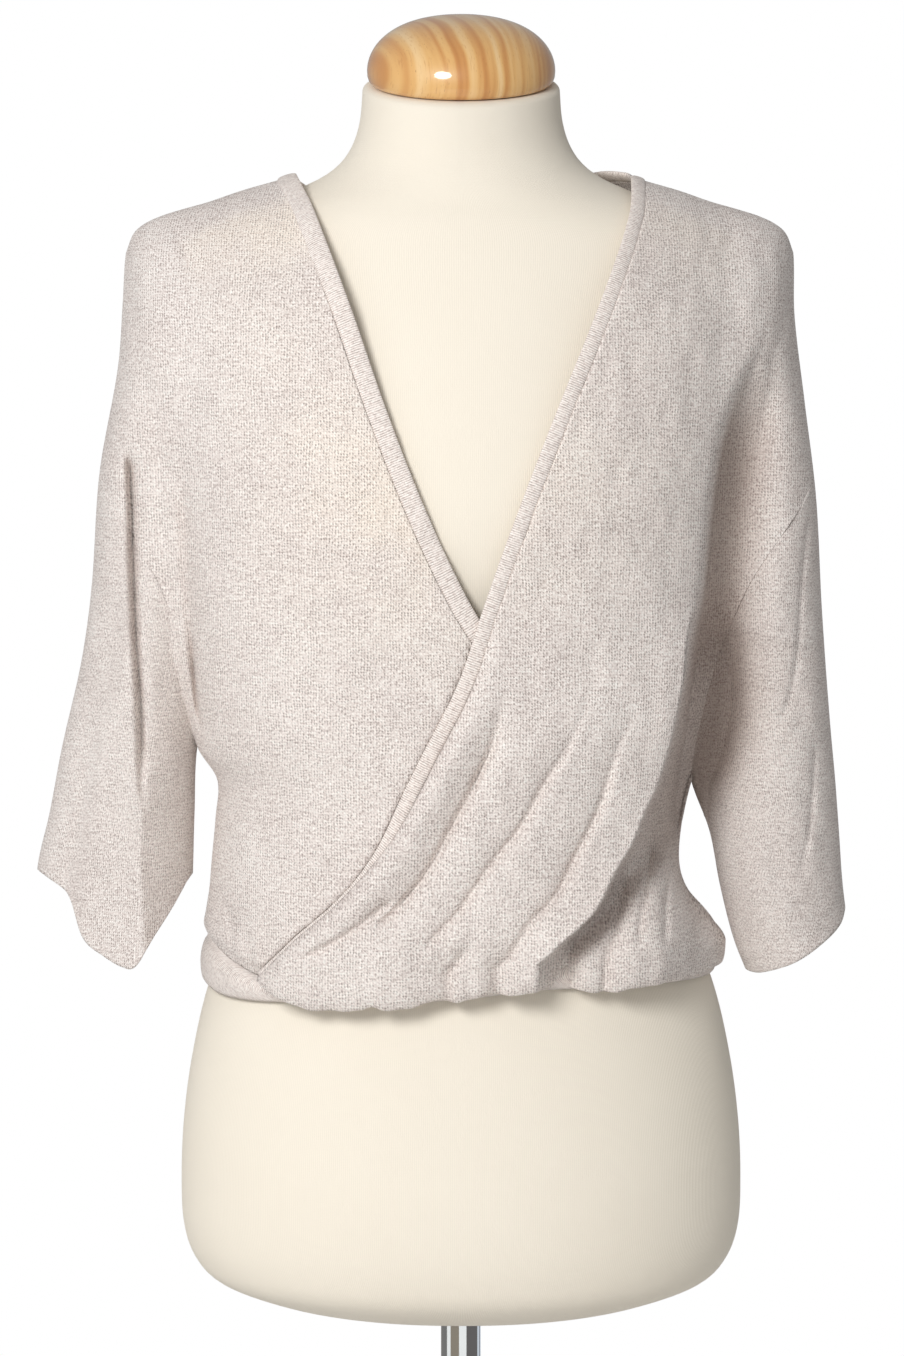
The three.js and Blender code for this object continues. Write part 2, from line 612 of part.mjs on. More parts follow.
function base() {
  return upright([
    [0, 0], [BASE_RADIUS - BASE_CHAMFER, 0], [BASE_RADIUS, BASE_CHAMFER],
    [BASE_RADIUS, BASE_HEIGHT - BASE_CHAMFER], [BASE_RADIUS - BASE_CHAMFER, BASE_HEIGHT], [0, BASE_HEIGHT],
  ], 64);
}

function pole() {
  const bottom = BASE_HEIGHT + FIT_GAP;
  const top = TORSO_BOTTOM - FIT_GAP;
  return upright([[0, bottom], [POLE_RADIUS, bottom], [POLE_RADIUS, top], [0, top]], 32);
}

// ---------------------------------------------------------------- the assembly

const object = new THREE.Group();

function add(name, geometry, material) {
  const mesh = new THREE.Mesh(geometry, new THREE.MeshStandardMaterial(MATERIALS[material]));
  mesh.name = name;
  object.add(mesh);
  return mesh;
}

add('base', base(), 'steel');
add('pole', pole(), 'chrome');
add('torso', torso(), 'jersey');
const cap = add('neck_cap', neckCap(), 'wood');
cap.position.set(0, -2.5, NECK_TOP + FIT_GAP - 0.6);
cap.rotation.x = NECK_TILT * Math.PI / 180;

const overRows = frontRows('right', overEdge, overFront);
const overGrid = [...rollRows(overRows[0]), ...overRows];
const underGrid = frontRows('left', underEdge, underFront);
const backGrid = backRows();
add('front_over', wall(overGrid, CLOTH), 'knit');
add('front_under', wall(underGrid, CLOTH), 'knit');
add('back', wall(backGrid, CLOTH), 'knit');
add('sleeve_left', wall(sleeveRings('left'), CLOTH, true), 'knit');
add('sleeve_right', wall(sleeveRings('right'), CLOTH, true), 'knit');
add('neck_band_over', band(frontBandStations(overRows, 1), NECK_BAND_WIDTH.over), 'knit');
add('neck_band_under', band(frontBandStations(underGrid, 0), NECK_BAND_WIDTH.under), 'knit');
add('neck_band_back', band(backBandStations(backGrid), NECK_BAND_WIDTH.back), 'knit');
add('hem_band', hemBand(), 'knit');

export default object;
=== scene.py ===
"""A crossover knit pullover on a limbless dress form. Sizes are in millimetres until a mesh is made."""

import math

import bpy
import numpy as np
from mathutils import Matrix, Vector


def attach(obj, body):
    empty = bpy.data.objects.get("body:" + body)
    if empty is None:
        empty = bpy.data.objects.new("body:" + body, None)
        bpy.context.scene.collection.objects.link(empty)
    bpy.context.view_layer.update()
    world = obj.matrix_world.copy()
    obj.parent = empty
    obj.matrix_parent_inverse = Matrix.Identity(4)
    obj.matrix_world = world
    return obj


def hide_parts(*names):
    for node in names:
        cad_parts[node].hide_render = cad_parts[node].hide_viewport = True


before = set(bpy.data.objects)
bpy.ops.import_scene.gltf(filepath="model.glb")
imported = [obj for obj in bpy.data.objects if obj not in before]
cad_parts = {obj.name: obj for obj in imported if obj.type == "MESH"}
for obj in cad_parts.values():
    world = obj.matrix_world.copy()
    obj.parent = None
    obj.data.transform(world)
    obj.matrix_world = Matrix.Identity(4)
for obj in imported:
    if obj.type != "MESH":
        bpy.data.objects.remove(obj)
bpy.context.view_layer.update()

MM = 0.001

# -------- driving sizes

SIDE_GAP = 0.12         # from the plane of the side seams to the front's or the back's edge
ARMHOLE_GAP = 0.12      # from the armhole seam to the edge of each of its pieces
SEAM_GAP = 0.35         # between the body and the hem band
CLOTH = 1.1             # thickness of the cloth
TOUCHING, CLEAR = 2, 9  # cloth this near the form touches it, and beyond that its nearness falls off
OVER_NEAR, BACK_NEAR = 0.55, 0.6   # how much of the form shows through there; on the over front low down, OVER_NEAR also weakens the painted shade of the hollows
TUCK_TOP = 434          # below this the body's cloth turns in towards the hem band
THIN = 0.25             # the least share of its depth that a creased face keeps
HEM_TOP, HEM_LOW = 421, 401
HEM_SLOPE_TOP = 485     # the hem's slope fades out towards this height
BODY_BOTTOM = HEM_TOP + 0.6
HEM_BAND_SIZE = dict(left=157.6, right=154, front=99.5, back=108.5)
HEM_BAND_POWER = 2.2
HEM_OVAL = (161, 112)   # half width and depth of the cloth at the hem, which tell the way outward
BAND_OVAL = (156, 104)  # and those of the hem band
NECK_BAND_WIDTH = {"over": 9, "under": 12, "back": 10}
NECK_BAND_THICK = {"over": 3.4, "under": 3.6, "back": 3.4}
OVERLAP_DROP = 7.5      # how far the under front sinks behind the over front's band
OVERLAP_SLACK = 16      # and how much more it falls away behind the over front
BAND_TUCK = 7           # how far the over front's band goes in under its roll lower down
BAND_LAP = 0.5          # how far the neck bands' inner edges lie over the cloth's edge
HEM_BAND_CLOTH = 1.6
SEAM_SINK = 0.6         # how much deeper a sleeve's edge lies than the body's at their seam
BASE_RADIUS, BASE_HEIGHT = 150, 10
POLE_RADIUS = 12.2
POLE_GAP = 0.3          # between the pole's ends and what they meet
TORSO_BOTTOM = 200
NECK_TOP = 947
NECK_TILT = 15          # degrees
CAP_RADIUS, CAP_HEIGHT = 56.5, 40
CAP_FORWARD, CAP_SUNK = 2.5, 0.3   # how far the cap sits forward and sinks into the neck

# z, half width, front, back, and its power and close where they aren't the usual ones
FORM_POWER, FORM_CLOSE = 2.2, 0.5
FORM = [
    (200, 52, 34, 38), (204, 88, 58, 64), (211, 119, 79, 86), (222, 148, 95, 105), (236, 162, 102, 114),
    (256, 169, 106, 120), (285, 170.5, 107, 122), (320, 169, 104, 120), (358, 164, 100, 114),
    (400, 154.5, 95, 103), (445, 138, 87, 86), (495, 121, 82, 73), (545, 125, 85, 74),
    (600, 138, 97, 82), (650, 149, 111, 89), (695, 154, 117, 93), (735, 157, 113, 96),
    (775, 163, 103, 97, 2.2, 0.52), (810, 172, 92, 93, 2.2, 0.58), (838, 181, 82, 86, 2.2, 0.66),
    (853, 178, 76, 81, 2.2, 0.7), (863, 161, 72, 76, 2.2, 0.7), (873, 132, 67, 66, 2.2, 0.65),
    (882, 104, 64, 60, 2.1, 0.62), (892, 82, 62, 57, 2, 0.55), (904, 69, 61, 55, 2, 0.5),
    (922, 61.5, 61, 55, 2, 0.5), (947, 59, 60, 55, 2, 0.5),
]

# z, left, right, front, back
BODY = [
    (402, 153, 156, 109, 108), (421, 157, 161, 112, 113), (438, 155, 150, 114, 118),
    (456, 153, 138, 113, 118), (478, 151.5, 132.5, 112, 114), (505, 149, 134.5, 112, 109),
    (528, 148, 139.4, 113, 106), (548, 160, 146, 115, 104), (600, 172, 167, 119, 101),
    (650, 178, 175, 122, 101), (700, 181, 179, 123, 103), (740, 185, 183, 120, 107),
    (780, 191, 189, 113, 110), (815, 198, 196, 106, 110), (856, 200, 199, 100, 109),
    (894, 200, 199, 92, 103),
]
BODY_POWER = 2.4
SLEEVE_SOFTNESS = 34    # how softly the body runs into a sleeve
SLEEVE_JOIN = 70        # over this height above the underarm it comes to that softness

# z, inner, outer, front, back
SLEEVE_LEFT = [
    (410, 165, 262, 45, 44), (474, 163, 257.5, 46, 45), (507, 162, 250, 46, 46),
    (548, 160, 242, 47, 47), (600, 148, 230, 47, 48), (646, 141, 223.5, 48, 48),
    (713, 139, 218.5, 50, 50), (777, 142, 207, 52, 53), (816, 146, 204, 52, 54),
    (842, 150, 202.5, 52, 54), (856, 148, 200, 52, 54),
]
SLEEVE_RIGHT = [
    (405, 176, 240, 43, 43), (430, 166, 236.5, 44, 44), (463, 157.5, 232, 45, 45),
    (496, 151, 229.5, 46, 46), (528, 139.4, 227, 47, 47), (565, 135, 223.5, 47, 48),
    (630, 133, 218.5, 48, 48), (699, 134, 214.5, 50, 50), (756, 138, 207.3, 52, 53),
    (808, 144, 201, 52, 54), (842, 149, 200.5, 52, 54), (856, 148, 199, 52, 54),
]

# x, z: from the neck point down to the corner where the cloth turns down the overarm
SHOULDER_LINE = [
    (110, 889), (131, 883), (150, 876.5), (166, 872), (180, 867.5), (190, 862.5), (196, 856.5),
    (200, 846),
]
NECK_POINT = (110, 889)
NECK_SLOPE = 0.37       # the shoulder line's slope inside the neck point
SHOULDER_Z = 846
SHOULDER_ROUND = 110    # over this height below the shoulder line the cloth comes to its full depth
BACK_NECK_Z = 876
TOP_ROWS = 5            # a power: the higher it is, the fewer rows follow the shoulder line

# c, z: the dropped armhole seams. c, front, back: the cuffs' hems.
ARMHOLE_LEFT = [(0, 548), (0.2, 595), (0.45, 644), (0.7, 677), (0.88, 698), (1, 716)]
ARMHOLE_RIGHT = [(0, 528), (0.2, 590), (0.45, 645), (0.7, 677), (0.88, 697), (1, 714)]
CUFF_LEFT = [
    (0, 472, 470), (0.1, 453, 456), (0.2, 437, 448), (0.32, 418, 442), (0.4, 418, 440), (0.52, 424, 440),
    (0.66, 434.5, 443), (0.745, 456, 449), (0.8, 463, 455), (1, 473, 472),
]
CUFF_RIGHT = [
    (0, 412, 414), (0.12, 413, 418), (0.45, 421, 428), (0.75, 433, 438), (0.92, 442, 445), (1, 451, 451),
]

# z, x: the seams between the fronts and their neck bands
OVER_EDGE = [
    (889, 110), (864, 107), (812, 89), (740, 60), (680, 37), (632, 20), (590, 6), (548, -15), (515, -32),
    (490, -49), (463, -74), (442, -101), (421, -121), (402, -127),
]
UNDER_EDGE = [
    (889, -110), (866, -98), (812, -77), (748, -54.5), (699, -35.5), (662, -19), (634, -5), (590, 22),
    (540, 48), (490, 74), (450, 93), (421, 106),
]

# x, how much higher the body's edge and the hem band's lower edge hang than HEM_TOP and HEM_LOW
HEM_RISE = [
    (-165, 11.5, 5), (-157, 11.5, 5), (-148, 8, 1.5), (-135, 1, 0), (-119, -5, 0), (-100, -6, 1),
    (-60, -2, 2), (0, 3.5, 5), (45, 9, 10), (165, 9, 10.5),
]

# x, z: the back neckline, lower at the left
BACK_NECK = [
    (-110, 889), (-98, 881), (-84, 877), (-50, 875), (0, 876), (50, 882), (76, 888), (92, 891),
    (110, 889),
]

# x, how far the over front's blouson falls below the gathers: notched where the creases run out
ROLL_FALL = [
    (-124, 2), (-116, 6), (-108, 10), (-98, 14), (-85, 16.5), (-70, 18), (-60, 18), (-54, 16),
    (-47, 19), (-30, 19), (-15, 16.5), (0, 18.5), (15, 16.5), (30, 18.5), (48, 17.5), (62, 18),
    (78, 20.5), (92, 20.5), (108, 18.5), (125, 17), (145, 16), (161, 14),
]

# z, c: the ridge of the left sleeve's front
LEFT_RIDGE = [(410, 0.25), (474, 0.30), (548, 0.39), (600, 0.52), (660, 0.62), (723, 0.70)]

# z, how wide the part is that lies back beside the big fold
BIG_FOLD_RECESS = [(402, 14), (450, 15), (472, 20), (490, 30), (520, 38), (620, 42)]

# -------- small helpers


def smooth(start, end, value):
    t = np.clip((value - start) / (end - start), 0, 1)
    return t * t * (3 - 2 * t)


def mix(a, b, t):
    return a + (b - a) * t


def dome(t):
    """A quarter circle's height, from 0 at t = 0 to 1 at t = 1."""
    return np.sqrt(1 - (1 - np.clip(t, 0, 1)) ** 2)


def bell(away, width, power=2):
    """1 at no distance, falling off over a width."""
    return np.exp(-((np.abs(away) / width) ** power))


def oval(share, power, root):
    """How deep a rounded section is, 1 to 0, at a share of its half width."""
    return np.maximum(1 - np.abs(share) ** power, 0) ** root


def by_side(x, left, right):
    return np.where(x < 0, left, right)


def curve(keys, values):
    """A smooth curve through points, level beyond both ends."""
    order = np.argsort(keys)
    keys = np.asarray(keys, float)[order]
    values = np.asarray(values, float)[order]
    last = len(keys) - 1
    low = np.maximum(np.arange(last + 1) - 1, 0)
    high = np.minimum(np.arange(last + 1) + 1, last)
    slopes = (values[high] - values[low]) / (keys[high] - keys[low])

    def at(value):
        v = np.clip(value, keys[0], keys[-1])
        i = np.clip(np.searchsorted(keys, v, side="left") - 1, 0, last - 1)
        span = keys[i + 1] - keys[i]
        t = (v - keys[i]) / span
        straight = mix(values[i], values[i + 1], t * t * (3 - 2 * t))
        return straight + t * (1 - t) * span * ((1 - t) * slopes[i] - t * slopes[i + 1])

    return at


def curves(rows, names):
    keys = [row[0] for row in rows]
    return {name: curve(keys, [row[k + 1] for row in rows]) for k, name in enumerate(names)}


def undulation(a, b, size, seed, count=14):
    """A smooth random height over a plane, about -1 to 1, with waves about as long as size."""
    random = np.random.default_rng(seed)
    total = np.zeros(np.broadcast(a, b).shape)
    for _ in range(count):
        turn = random.uniform(0, 2 * math.pi)
        length = size * random.uniform(0.7, 1.6)
        phase = random.uniform(0, 2 * math.pi)
        total = total + np.cos((a * math.cos(turn) + b * math.sin(turn)) * 2 * math.pi / length + phase)
    return total / math.sqrt(count)


def dense_line(points, count=48):
    """A smooth line through points that go down, as x and z."""
    x, z = np.array(points, float).T
    levels = np.linspace(z[0], z[-1], count)
    return curve(z, x)(levels), levels


def beside(x, z, line):
    """The signed distance from a line, positive on its viewer's right, and how far down it."""
    lx, lz = line
    best = np.full(x.shape, 1e9)
    side = np.zeros(x.shape)
    along = np.zeros(x.shape)
    steps = np.hypot(np.diff(lx), np.diff(lz))
    starts = np.concatenate([[0], np.cumsum(steps)])
    for k, step in enumerate(steps):
        dx, dz = lx[k + 1] - lx[k], lz[k + 1] - lz[k]
        t = np.clip(((x - lx[k]) * dx + (z - lz[k]) * dz) / step ** 2, 0, 1)
        away = np.hypot(x - lx[k] - t * dx, z - lz[k] - t * dz)
        nearer = away < best
        best = np.where(nearer, away, best)
        side = np.where(nearer, np.sign(dx * (z - lz[k]) - dz * (x - lx[k])), side)
        along = np.where(nearer, starts[k] + t * step, along)
    return best * side, along, starts[-1]


def fade_along(along, length, top, low):
    """1 on the middle of a line, fading in over its top and out over its low end."""
    return smooth(0, top, along) * (smooth(length, length - low, along) if low else 1)


# -------- the drape

form = [(*row, FORM_POWER, FORM_CLOSE)[:6] for row in FORM]
form = curves(form, ["width", "front", "back", "power", "close"])
body = curves(BODY, ["left", "right", "front", "back"])
arm, armhole, cuff = {}, {}, {}
for side_name, arm_rows, armhole_rows, cuff_rows in [
    ("left", SLEEVE_LEFT, ARMHOLE_LEFT, CUFF_LEFT), ("right", SLEEVE_RIGHT, ARMHOLE_RIGHT, CUFF_RIGHT),
]:
    arm[side_name] = curves(arm_rows, ["inner", "outer", "front", "back"])
    armhole[side_name] = curve(*zip(*armhole_rows))
    cuff[side_name] = curves(cuff_rows, ["front", "back"])
hem_rise = curves(HEM_RISE, ["body", "band"])
over_edge, under_edge, shoulder_line, back_neck, roll_fall, left_ridge, big_recess = (
    curve(*zip(*rows))
    for rows in (OVER_EDGE, UNDER_EDGE, SHOULDER_LINE, BACK_NECK, ROLL_FALL, LEFT_RIDGE, BIG_FOLD_RECESS)
)


def arm_profile(c, z, side, face):
    """How deep a sleeve is across its section, 0 to 1."""
    round_part = np.sqrt(np.maximum(4 * c * (1 - c), 0))
    if side == "right" or face == "back":
        return round_part
    ridge = left_ridge(z)
    inside = np.clip(c / ridge, 0, 1)
    outside = np.clip((1 - c) / (1 - ridge), 0, 1)
    inside = mix(inside, np.sqrt(inside), 0.55)
    outside = mix(outside, np.sqrt(outside), 0.75)
    folded = np.where(c < ridge, inside, outside)
    return mix(round_part, folded, 0.8 * smooth(700, 560, z))


def joined(a, b, softness):
    """The greater of two depths, with a soft corner between them."""
    soft = np.maximum(softness, 1e-6)
    near = np.maximum(soft - np.abs(a - b), 0) / soft
    inside = np.minimum(np.minimum(a, b) / soft, 1)
    return np.maximum(a, b) + np.where(softness > 0, near * near * inside * soft / 4, 0)


def shoulder_z(x):
    """The height of the shoulder line, fitted to each side's width."""
    widest = by_side(x, arm["left"]["outer"](SHOULDER_Z), arm["right"]["outer"](SHOULDER_Z))
    out = np.abs(x) * SHOULDER_LINE[-1][0] / widest
    return shoulder_line(out) + NECK_SLOPE * np.maximum(NECK_POINT[0] - out, 0)


def side_depth(x, z, side, face):
    """The depth of one side's cloth, body and sleeve together."""
    out = np.abs(x)
    body_depth = body[face](z) * oval(out / body[side](z), BODY_POWER, 0.5)
    inner = arm[side]["inner"](z)
    c = np.clip((out - inner) / (arm[side]["outer"](z) - inner), 0, 1)
    arm_depth = arm[side][face](z) * arm_profile(c, z, side, face)
    underarm = armhole[side](0)
    softness = SLEEVE_SOFTNESS * smooth(underarm, underarm + SLEEVE_JOIN, z)
    rounding = dome((shoulder_z(x) - z) / SHOULDER_ROUND)
    return rounding * joined(body_depth, arm_depth, softness)


def depth(x, z, face):
    """How far the cloth stands in front of (or behind) the plane of the side seams."""
    return by_side(x, side_depth(x, z, "left", face), side_depth(x, z, "right", face))


def form_depth(x, z, face):
    """The same for the form's surface."""
    return form[face](z) * oval(x / form["width"](z), form["power"](z), form["close"](z))


OVER_LINE = dense_line([(x, z) for z, x in OVER_EDGE], 120)

# The folds, each a trough along a line from top to bottom. Columns: how deep it is, how wide on the
# viewer's left and right, over what length it fades in at the top and out at the bottom, its line.
OVER_FOLDS = [
    (7.5, 9, 4, 50, 14, [(22.6, 590), (18, 558), (6.4, 532.5), (-7.6, 505), (-21.7, 480), (-35, 464),
        (-52, 447)]),
    (4.5, 6, 3.5, 12, 14, [(-36, 469), (-47.6, 461), (-62.6, 450), (-76.6, 442.5), (-99, 433.6)]),
    (5, 9, 3, 110, 18, [(79, 601), (69, 572), (61.5, 555), (50.5, 538), (41.8, 522.7), (34.3, 508.7),
        (23.8, 496), (9.9, 476), (0, 460), (-11, 448.4), (-24, 432)]),
    (6, 9, 3, 16, 0, [(5.8, 440), (-1, 430), (-8, 420), (-16, 408), (-22, 398)]),
    (5.5, 10, 3, 110, 0, [(107, 590), (99, 571), (92, 558), (87, 541), (81.8, 522.7), (72, 502),
        (63.3, 485), (54, 465.7), (41.8, 451), (34.3, 437.4), (27.9, 427), (13.9, 414), (6, 402)]),
    (5.5, 6, 3, 18, 0, [(99.3, 481), (96, 465), (92.7, 448), (88, 432), (84.2, 416), (82, 402)]),
    (4, 5, 3, 12, 0, [(72, 437), (66, 427), (61.5, 418), (57, 402)]),
    (4, 5, 2.5, 20, 16, [(116, 500), (112, 480), (107, 455), (103, 425)]),
    (4, 4, 2.5, 20, 16, [(127, 492), (124, 470), (121, 450), (120, 425)]),
    (3, 4, 2.5, 16, 10, [(136, 480), (138, 458), (143, 442), (150, 431)]),
]
UNDER_FOLDS = [
    (2.5, 6, 4, 16, 0, [(-142, 462), (-138, 445), (-137, 424)]),
    (2, 5, 4, 14, 0, [(-128, 450), (-126, 436), (-124, 421)]),
    (2, 8, 8, 20, 20, [(-178, 872), (-166, 850), (-158, 828)]),
]
BACK_FOLDS = [
    (8, 9, 7, 50, 25, [(-150, 720), (-147, 660), (-143, 600), (-141, 552)]),
    (8, 7, 9, 50, 25, [(150, 720), (147, 660), (141, 600), (138, 540)]),
    (4.5, 9, 6, 60, 0, [(-98, 560), (-84, 520), (-66, 482), (-52, 452), (-46, 424)]),
    (3.5, 8, 6, 60, 0, [(-40, 540), (-30, 500), (-20, 460), (-16, 424)]),
    (3.5, 6, 8, 60, 0, [(18, 560), (16, 510), (18, 462), (22, 424)]),
    (5, 6, 9, 60, 0, [(88, 570), (74, 520), (60, 476), (52, 424)]),
    (4, 5, 7, 40, 0, [(118, 520), (106, 480), (96, 450), (92, 424)]),
    (4, 7, 5, 40, 0, [(-126, 510), (-114, 470), (-104, 446), (-100, 424)]),
]
SLEEVE_FOLDS = {
    "left": [
        (1.2, 7, 7, 30, 30, [(-222, 560), (-228, 520), (-236, 480), (-240, 450)]),
    ],
    "right": [
        (1.8, 3, 9, 30, 20, [(213, 712), (208, 685), (204, 649), (201, 602), (197, 581), (189, 560)]),
        (1.8, 3, 8, 25, 20, [(213, 560), (211, 522), (208, 495), (202, 474)]),
    ],
}
LEFT_SLIT = (12, 0.9, 8, 14, 60, [(-199, 728), (-198, 716), (-197, 698), (-196.6, 668), (-195.6, 638),
    (-194.8, 615), (-192.4, 580), (-191.5, 545), (-191, 505)])
FOLD_SCALE = 1.5      # how much deeper than the tables say the folds are

# x, z: the big fold from the right side, and the two long hollows where the body runs into the sleeves
BIG_FOLD = [(147, 660), (134, 628), (130.5, 598), (123, 561), (114.3, 531.2), (106.8, 516),
    (99.3, 497.7), (89.4, 482.6), (83, 467.5), (75.5, 453.6), (61.5, 438.5), (49.4, 425.7),
    (37.7, 415.8), (29, 402)]
VALLEY_LEFT = [(-166, 740), (-165, 690), (-163, 640), (-160, 600), (-158.5, 576), (-155, 552)]
VALLEY_RIGHT = [(186, 812), (180, 792), (163, 754), (155, 724), (150, 688), (146, 646), (141, 595),
    (139, 549), (137, 520)]
BIG_FOLD_BULGE = 17   # how far the cloth hangs forward on the big fold's left
BIG_FOLD_STEP = 38    # how far it lies back on the right
VALLEY_DEPTH = dict(right=26, left=7, crease=8)
HOLLOW_SHADE_DEPTH = 28           # cloth that lies this deep in a hollow gets the whole painted shade
GATHER = 17           # from one gather above the hem band to the next


def trough(x, z, deep, left, right, top, low, line):
    """A crease: the cloth sinks towards it slowly from the left, and rises steeply on its right."""
    away, along, length = beside(x, z, dense_line(line))
    bottom, crease = 0.8, 1.9
    near = np.sqrt(away * away + bottom) - math.sqrt(bottom)
    shape = 0.6 * np.exp(-near / by_side(away, left, right)) + 0.4 * bell(away, crease)
    shape = shape * smooth(top, 0, np.maximum(z - line[0][1], 0))
    if low:
        shape = shape * smooth(left * 2.5, 0, np.maximum(line[-1][1] - z, 0))
    return FOLD_SCALE * deep * fade_along(along, length, top, low) * shape


def big_fold(x, z):
    """How far the cloth hangs out at the big fold, and how far it lies back beside it."""
    away, along, length = beside(x, z, dense_line(BIG_FOLD, 70))
    share = np.where(z > BIG_FOLD[0][1], 0, fade_along(along, length + 10, 90, 70))
    hang = BIG_FOLD_BULGE * np.exp(by_side(away, away / 24, -away / 3))
    right = np.maximum(away, 0)
    recess = BIG_FOLD_STEP * (1 - np.exp(-right / 5)) / (1 + (right / big_recess(z)) ** 4)
    return share * hang, share * recess


def valleys(x, z):
    """How deep the long hollows are where the body runs into the sleeves, and beside the big fold."""
    away, along, length = beside(x, z, dense_line(VALLEY_RIGHT, 60))
    wide = mix(19, 27, smooth(600, 640, z))
    shape = by_side(away, bell(away, 3.5, 1.4), 1 / (1 + (away / wide) ** 4))
    right = VALLEY_DEPTH["right"] * fade_along(along, length + 1, 110, 41) * shape
    away, along, length = beside(x, z, dense_line(VALLEY_LEFT, 60))
    shape = VALLEY_DEPTH["left"] * bell(away, by_side(away, 3.5, 7), 1.3)
    crease = VALLEY_DEPTH["crease"] * bell(away, by_side(away, 1.8, 1.4), 1.5)
    left = (shape + crease * smooth(110, 150, along)) * fade_along(along, length + 1, 60, 26)
    return right + left + big_fold(x, z)[1]


def hollow_shade_share(x, z):
    """0 to 1: how much the cloth lies in those hollows, which sets how strong the painted shade there
    is.
    """
    return np.clip(valleys(x, z) / HOLLOW_SHADE_DEPTH, 0, 0.95)


def hem_lift(x, z):
    """Gathers above the hem band, and the blouson's swelling."""
    wave = np.cos(x * 2 * math.pi / GATHER + 1.6 * undulation(x, z * 0.2, 90, 31))
    return 0.6 * smooth(470, 424, z) * (wave + undulation(x, z * 0.4, 34, 32))


def band_tuck(z):
    """How far the over front's band goes in under its roll."""
    return BAND_TUCK * smooth(530, 468, z)


def waves(x, z, size, seed, height=0.5, fine=16):
    """Slight unevenness of a whole face, broad and fine."""
    return height * undulation(x, z, size, seed) + 0.3 * undulation(x * 1.5, z * 0.6, fine, seed + 1)


def creased(x, z, d, lift, folds):
    """The depth of a face with its folds, which fade out where the cloth turns at the side seams."""
    for fold in folds:
        lift = lift - trough(x, z, *fold)
    return np.maximum(d + lift * smooth(4, 30, d), THIN * d)


def over_front(x, z):
    d = depth(x, z, "front")
    from_edge = np.maximum(beside(x, z, OVER_LINE)[0], 0)
    roll_height = 8.5 * smooth(625, 545, z) + 1.5
    roll_width = 6 * smooth(640, 560, z) + 3
    lift = roll_height * dome(from_edge / roll_width) * smooth(150, 115, x)
    # a swelling behind the roll, and another low down at the right
    lift += 2.5 * smooth(640, 560, z) * bell(from_edge - 9, 9)
    lift += 10 * bell(x - 119, 20) * bell(z - 438, 24)
    lift += big_fold(x, z)[0] - valleys(x, z) + waves(x, z, 38, 11) + hem_lift(x, z)
    return -SIDE_GAP - creased(x, z, d, lift, OVER_FOLDS)


def under_front(x, z):
    d = depth(x, z, "front")
    covered = beside(x, z, OVER_LINE)[0]
    band_edge = NECK_BAND_WIDTH["over"] - BAND_LAP - band_tuck(z)
    sunk = OVERLAP_DROP * smooth(-band_edge - 0.2, -band_edge + 2.4, covered)
    sunk += OVERLAP_SLACK * smooth(0, 40, covered)
    lift = waves(x, z, 42, 21, fine=17) + hem_lift(x, z) - valleys(x, z)
    lowest = np.minimum(form_depth(x, z, "front") + 2.5, d - OVERLAP_DROP)
    return -SIDE_GAP - np.maximum(creased(x, z, d, lift, [LEFT_SLIT, *UNDER_FOLDS]) - sunk, lowest)


def back_face(x, z):
    d = depth(x, z, "back")
    lift = waves(x, z, 55, 41, height=0.8, fine=18) + hem_lift(x, z) + 3 * smooth(560, 480, z)
    return SIDE_GAP + creased(x, z, d, lift, BACK_FOLDS)


def hem_slope(x, z):
    """How much higher the body hangs near its hem, which slopes."""
    return hem_rise["body"](x) * smooth(HEM_SLOPE_TOP, HEM_TOP, z)


# -------- making meshes


def lengths(points, axis):
    """Arc lengths along an axis of a grid, from its start."""
    steps = np.linalg.norm(np.diff(points, axis=axis), axis=2)
    pad = [(0, 0), (0, 0)]
    pad[axis] = (1, 0)
    return np.cumsum(np.pad(steps, pad), axis=axis)


def unit(vectors):
    return vectors / np.linalg.norm(vectors, axis=1)[:, None]


def full_turn(count):
    return np.arange(count) / count * 2 * math.pi


def squared(value, power):
    """A sine or cosine bent so that a section comes out fuller than an ellipse."""
    return np.sign(value) * np.abs(value) ** power


def add_object(name, data):
    obj = bpy.data.objects.new(name, data)
    bpy.context.scene.collection.objects.link(obj)
    return obj


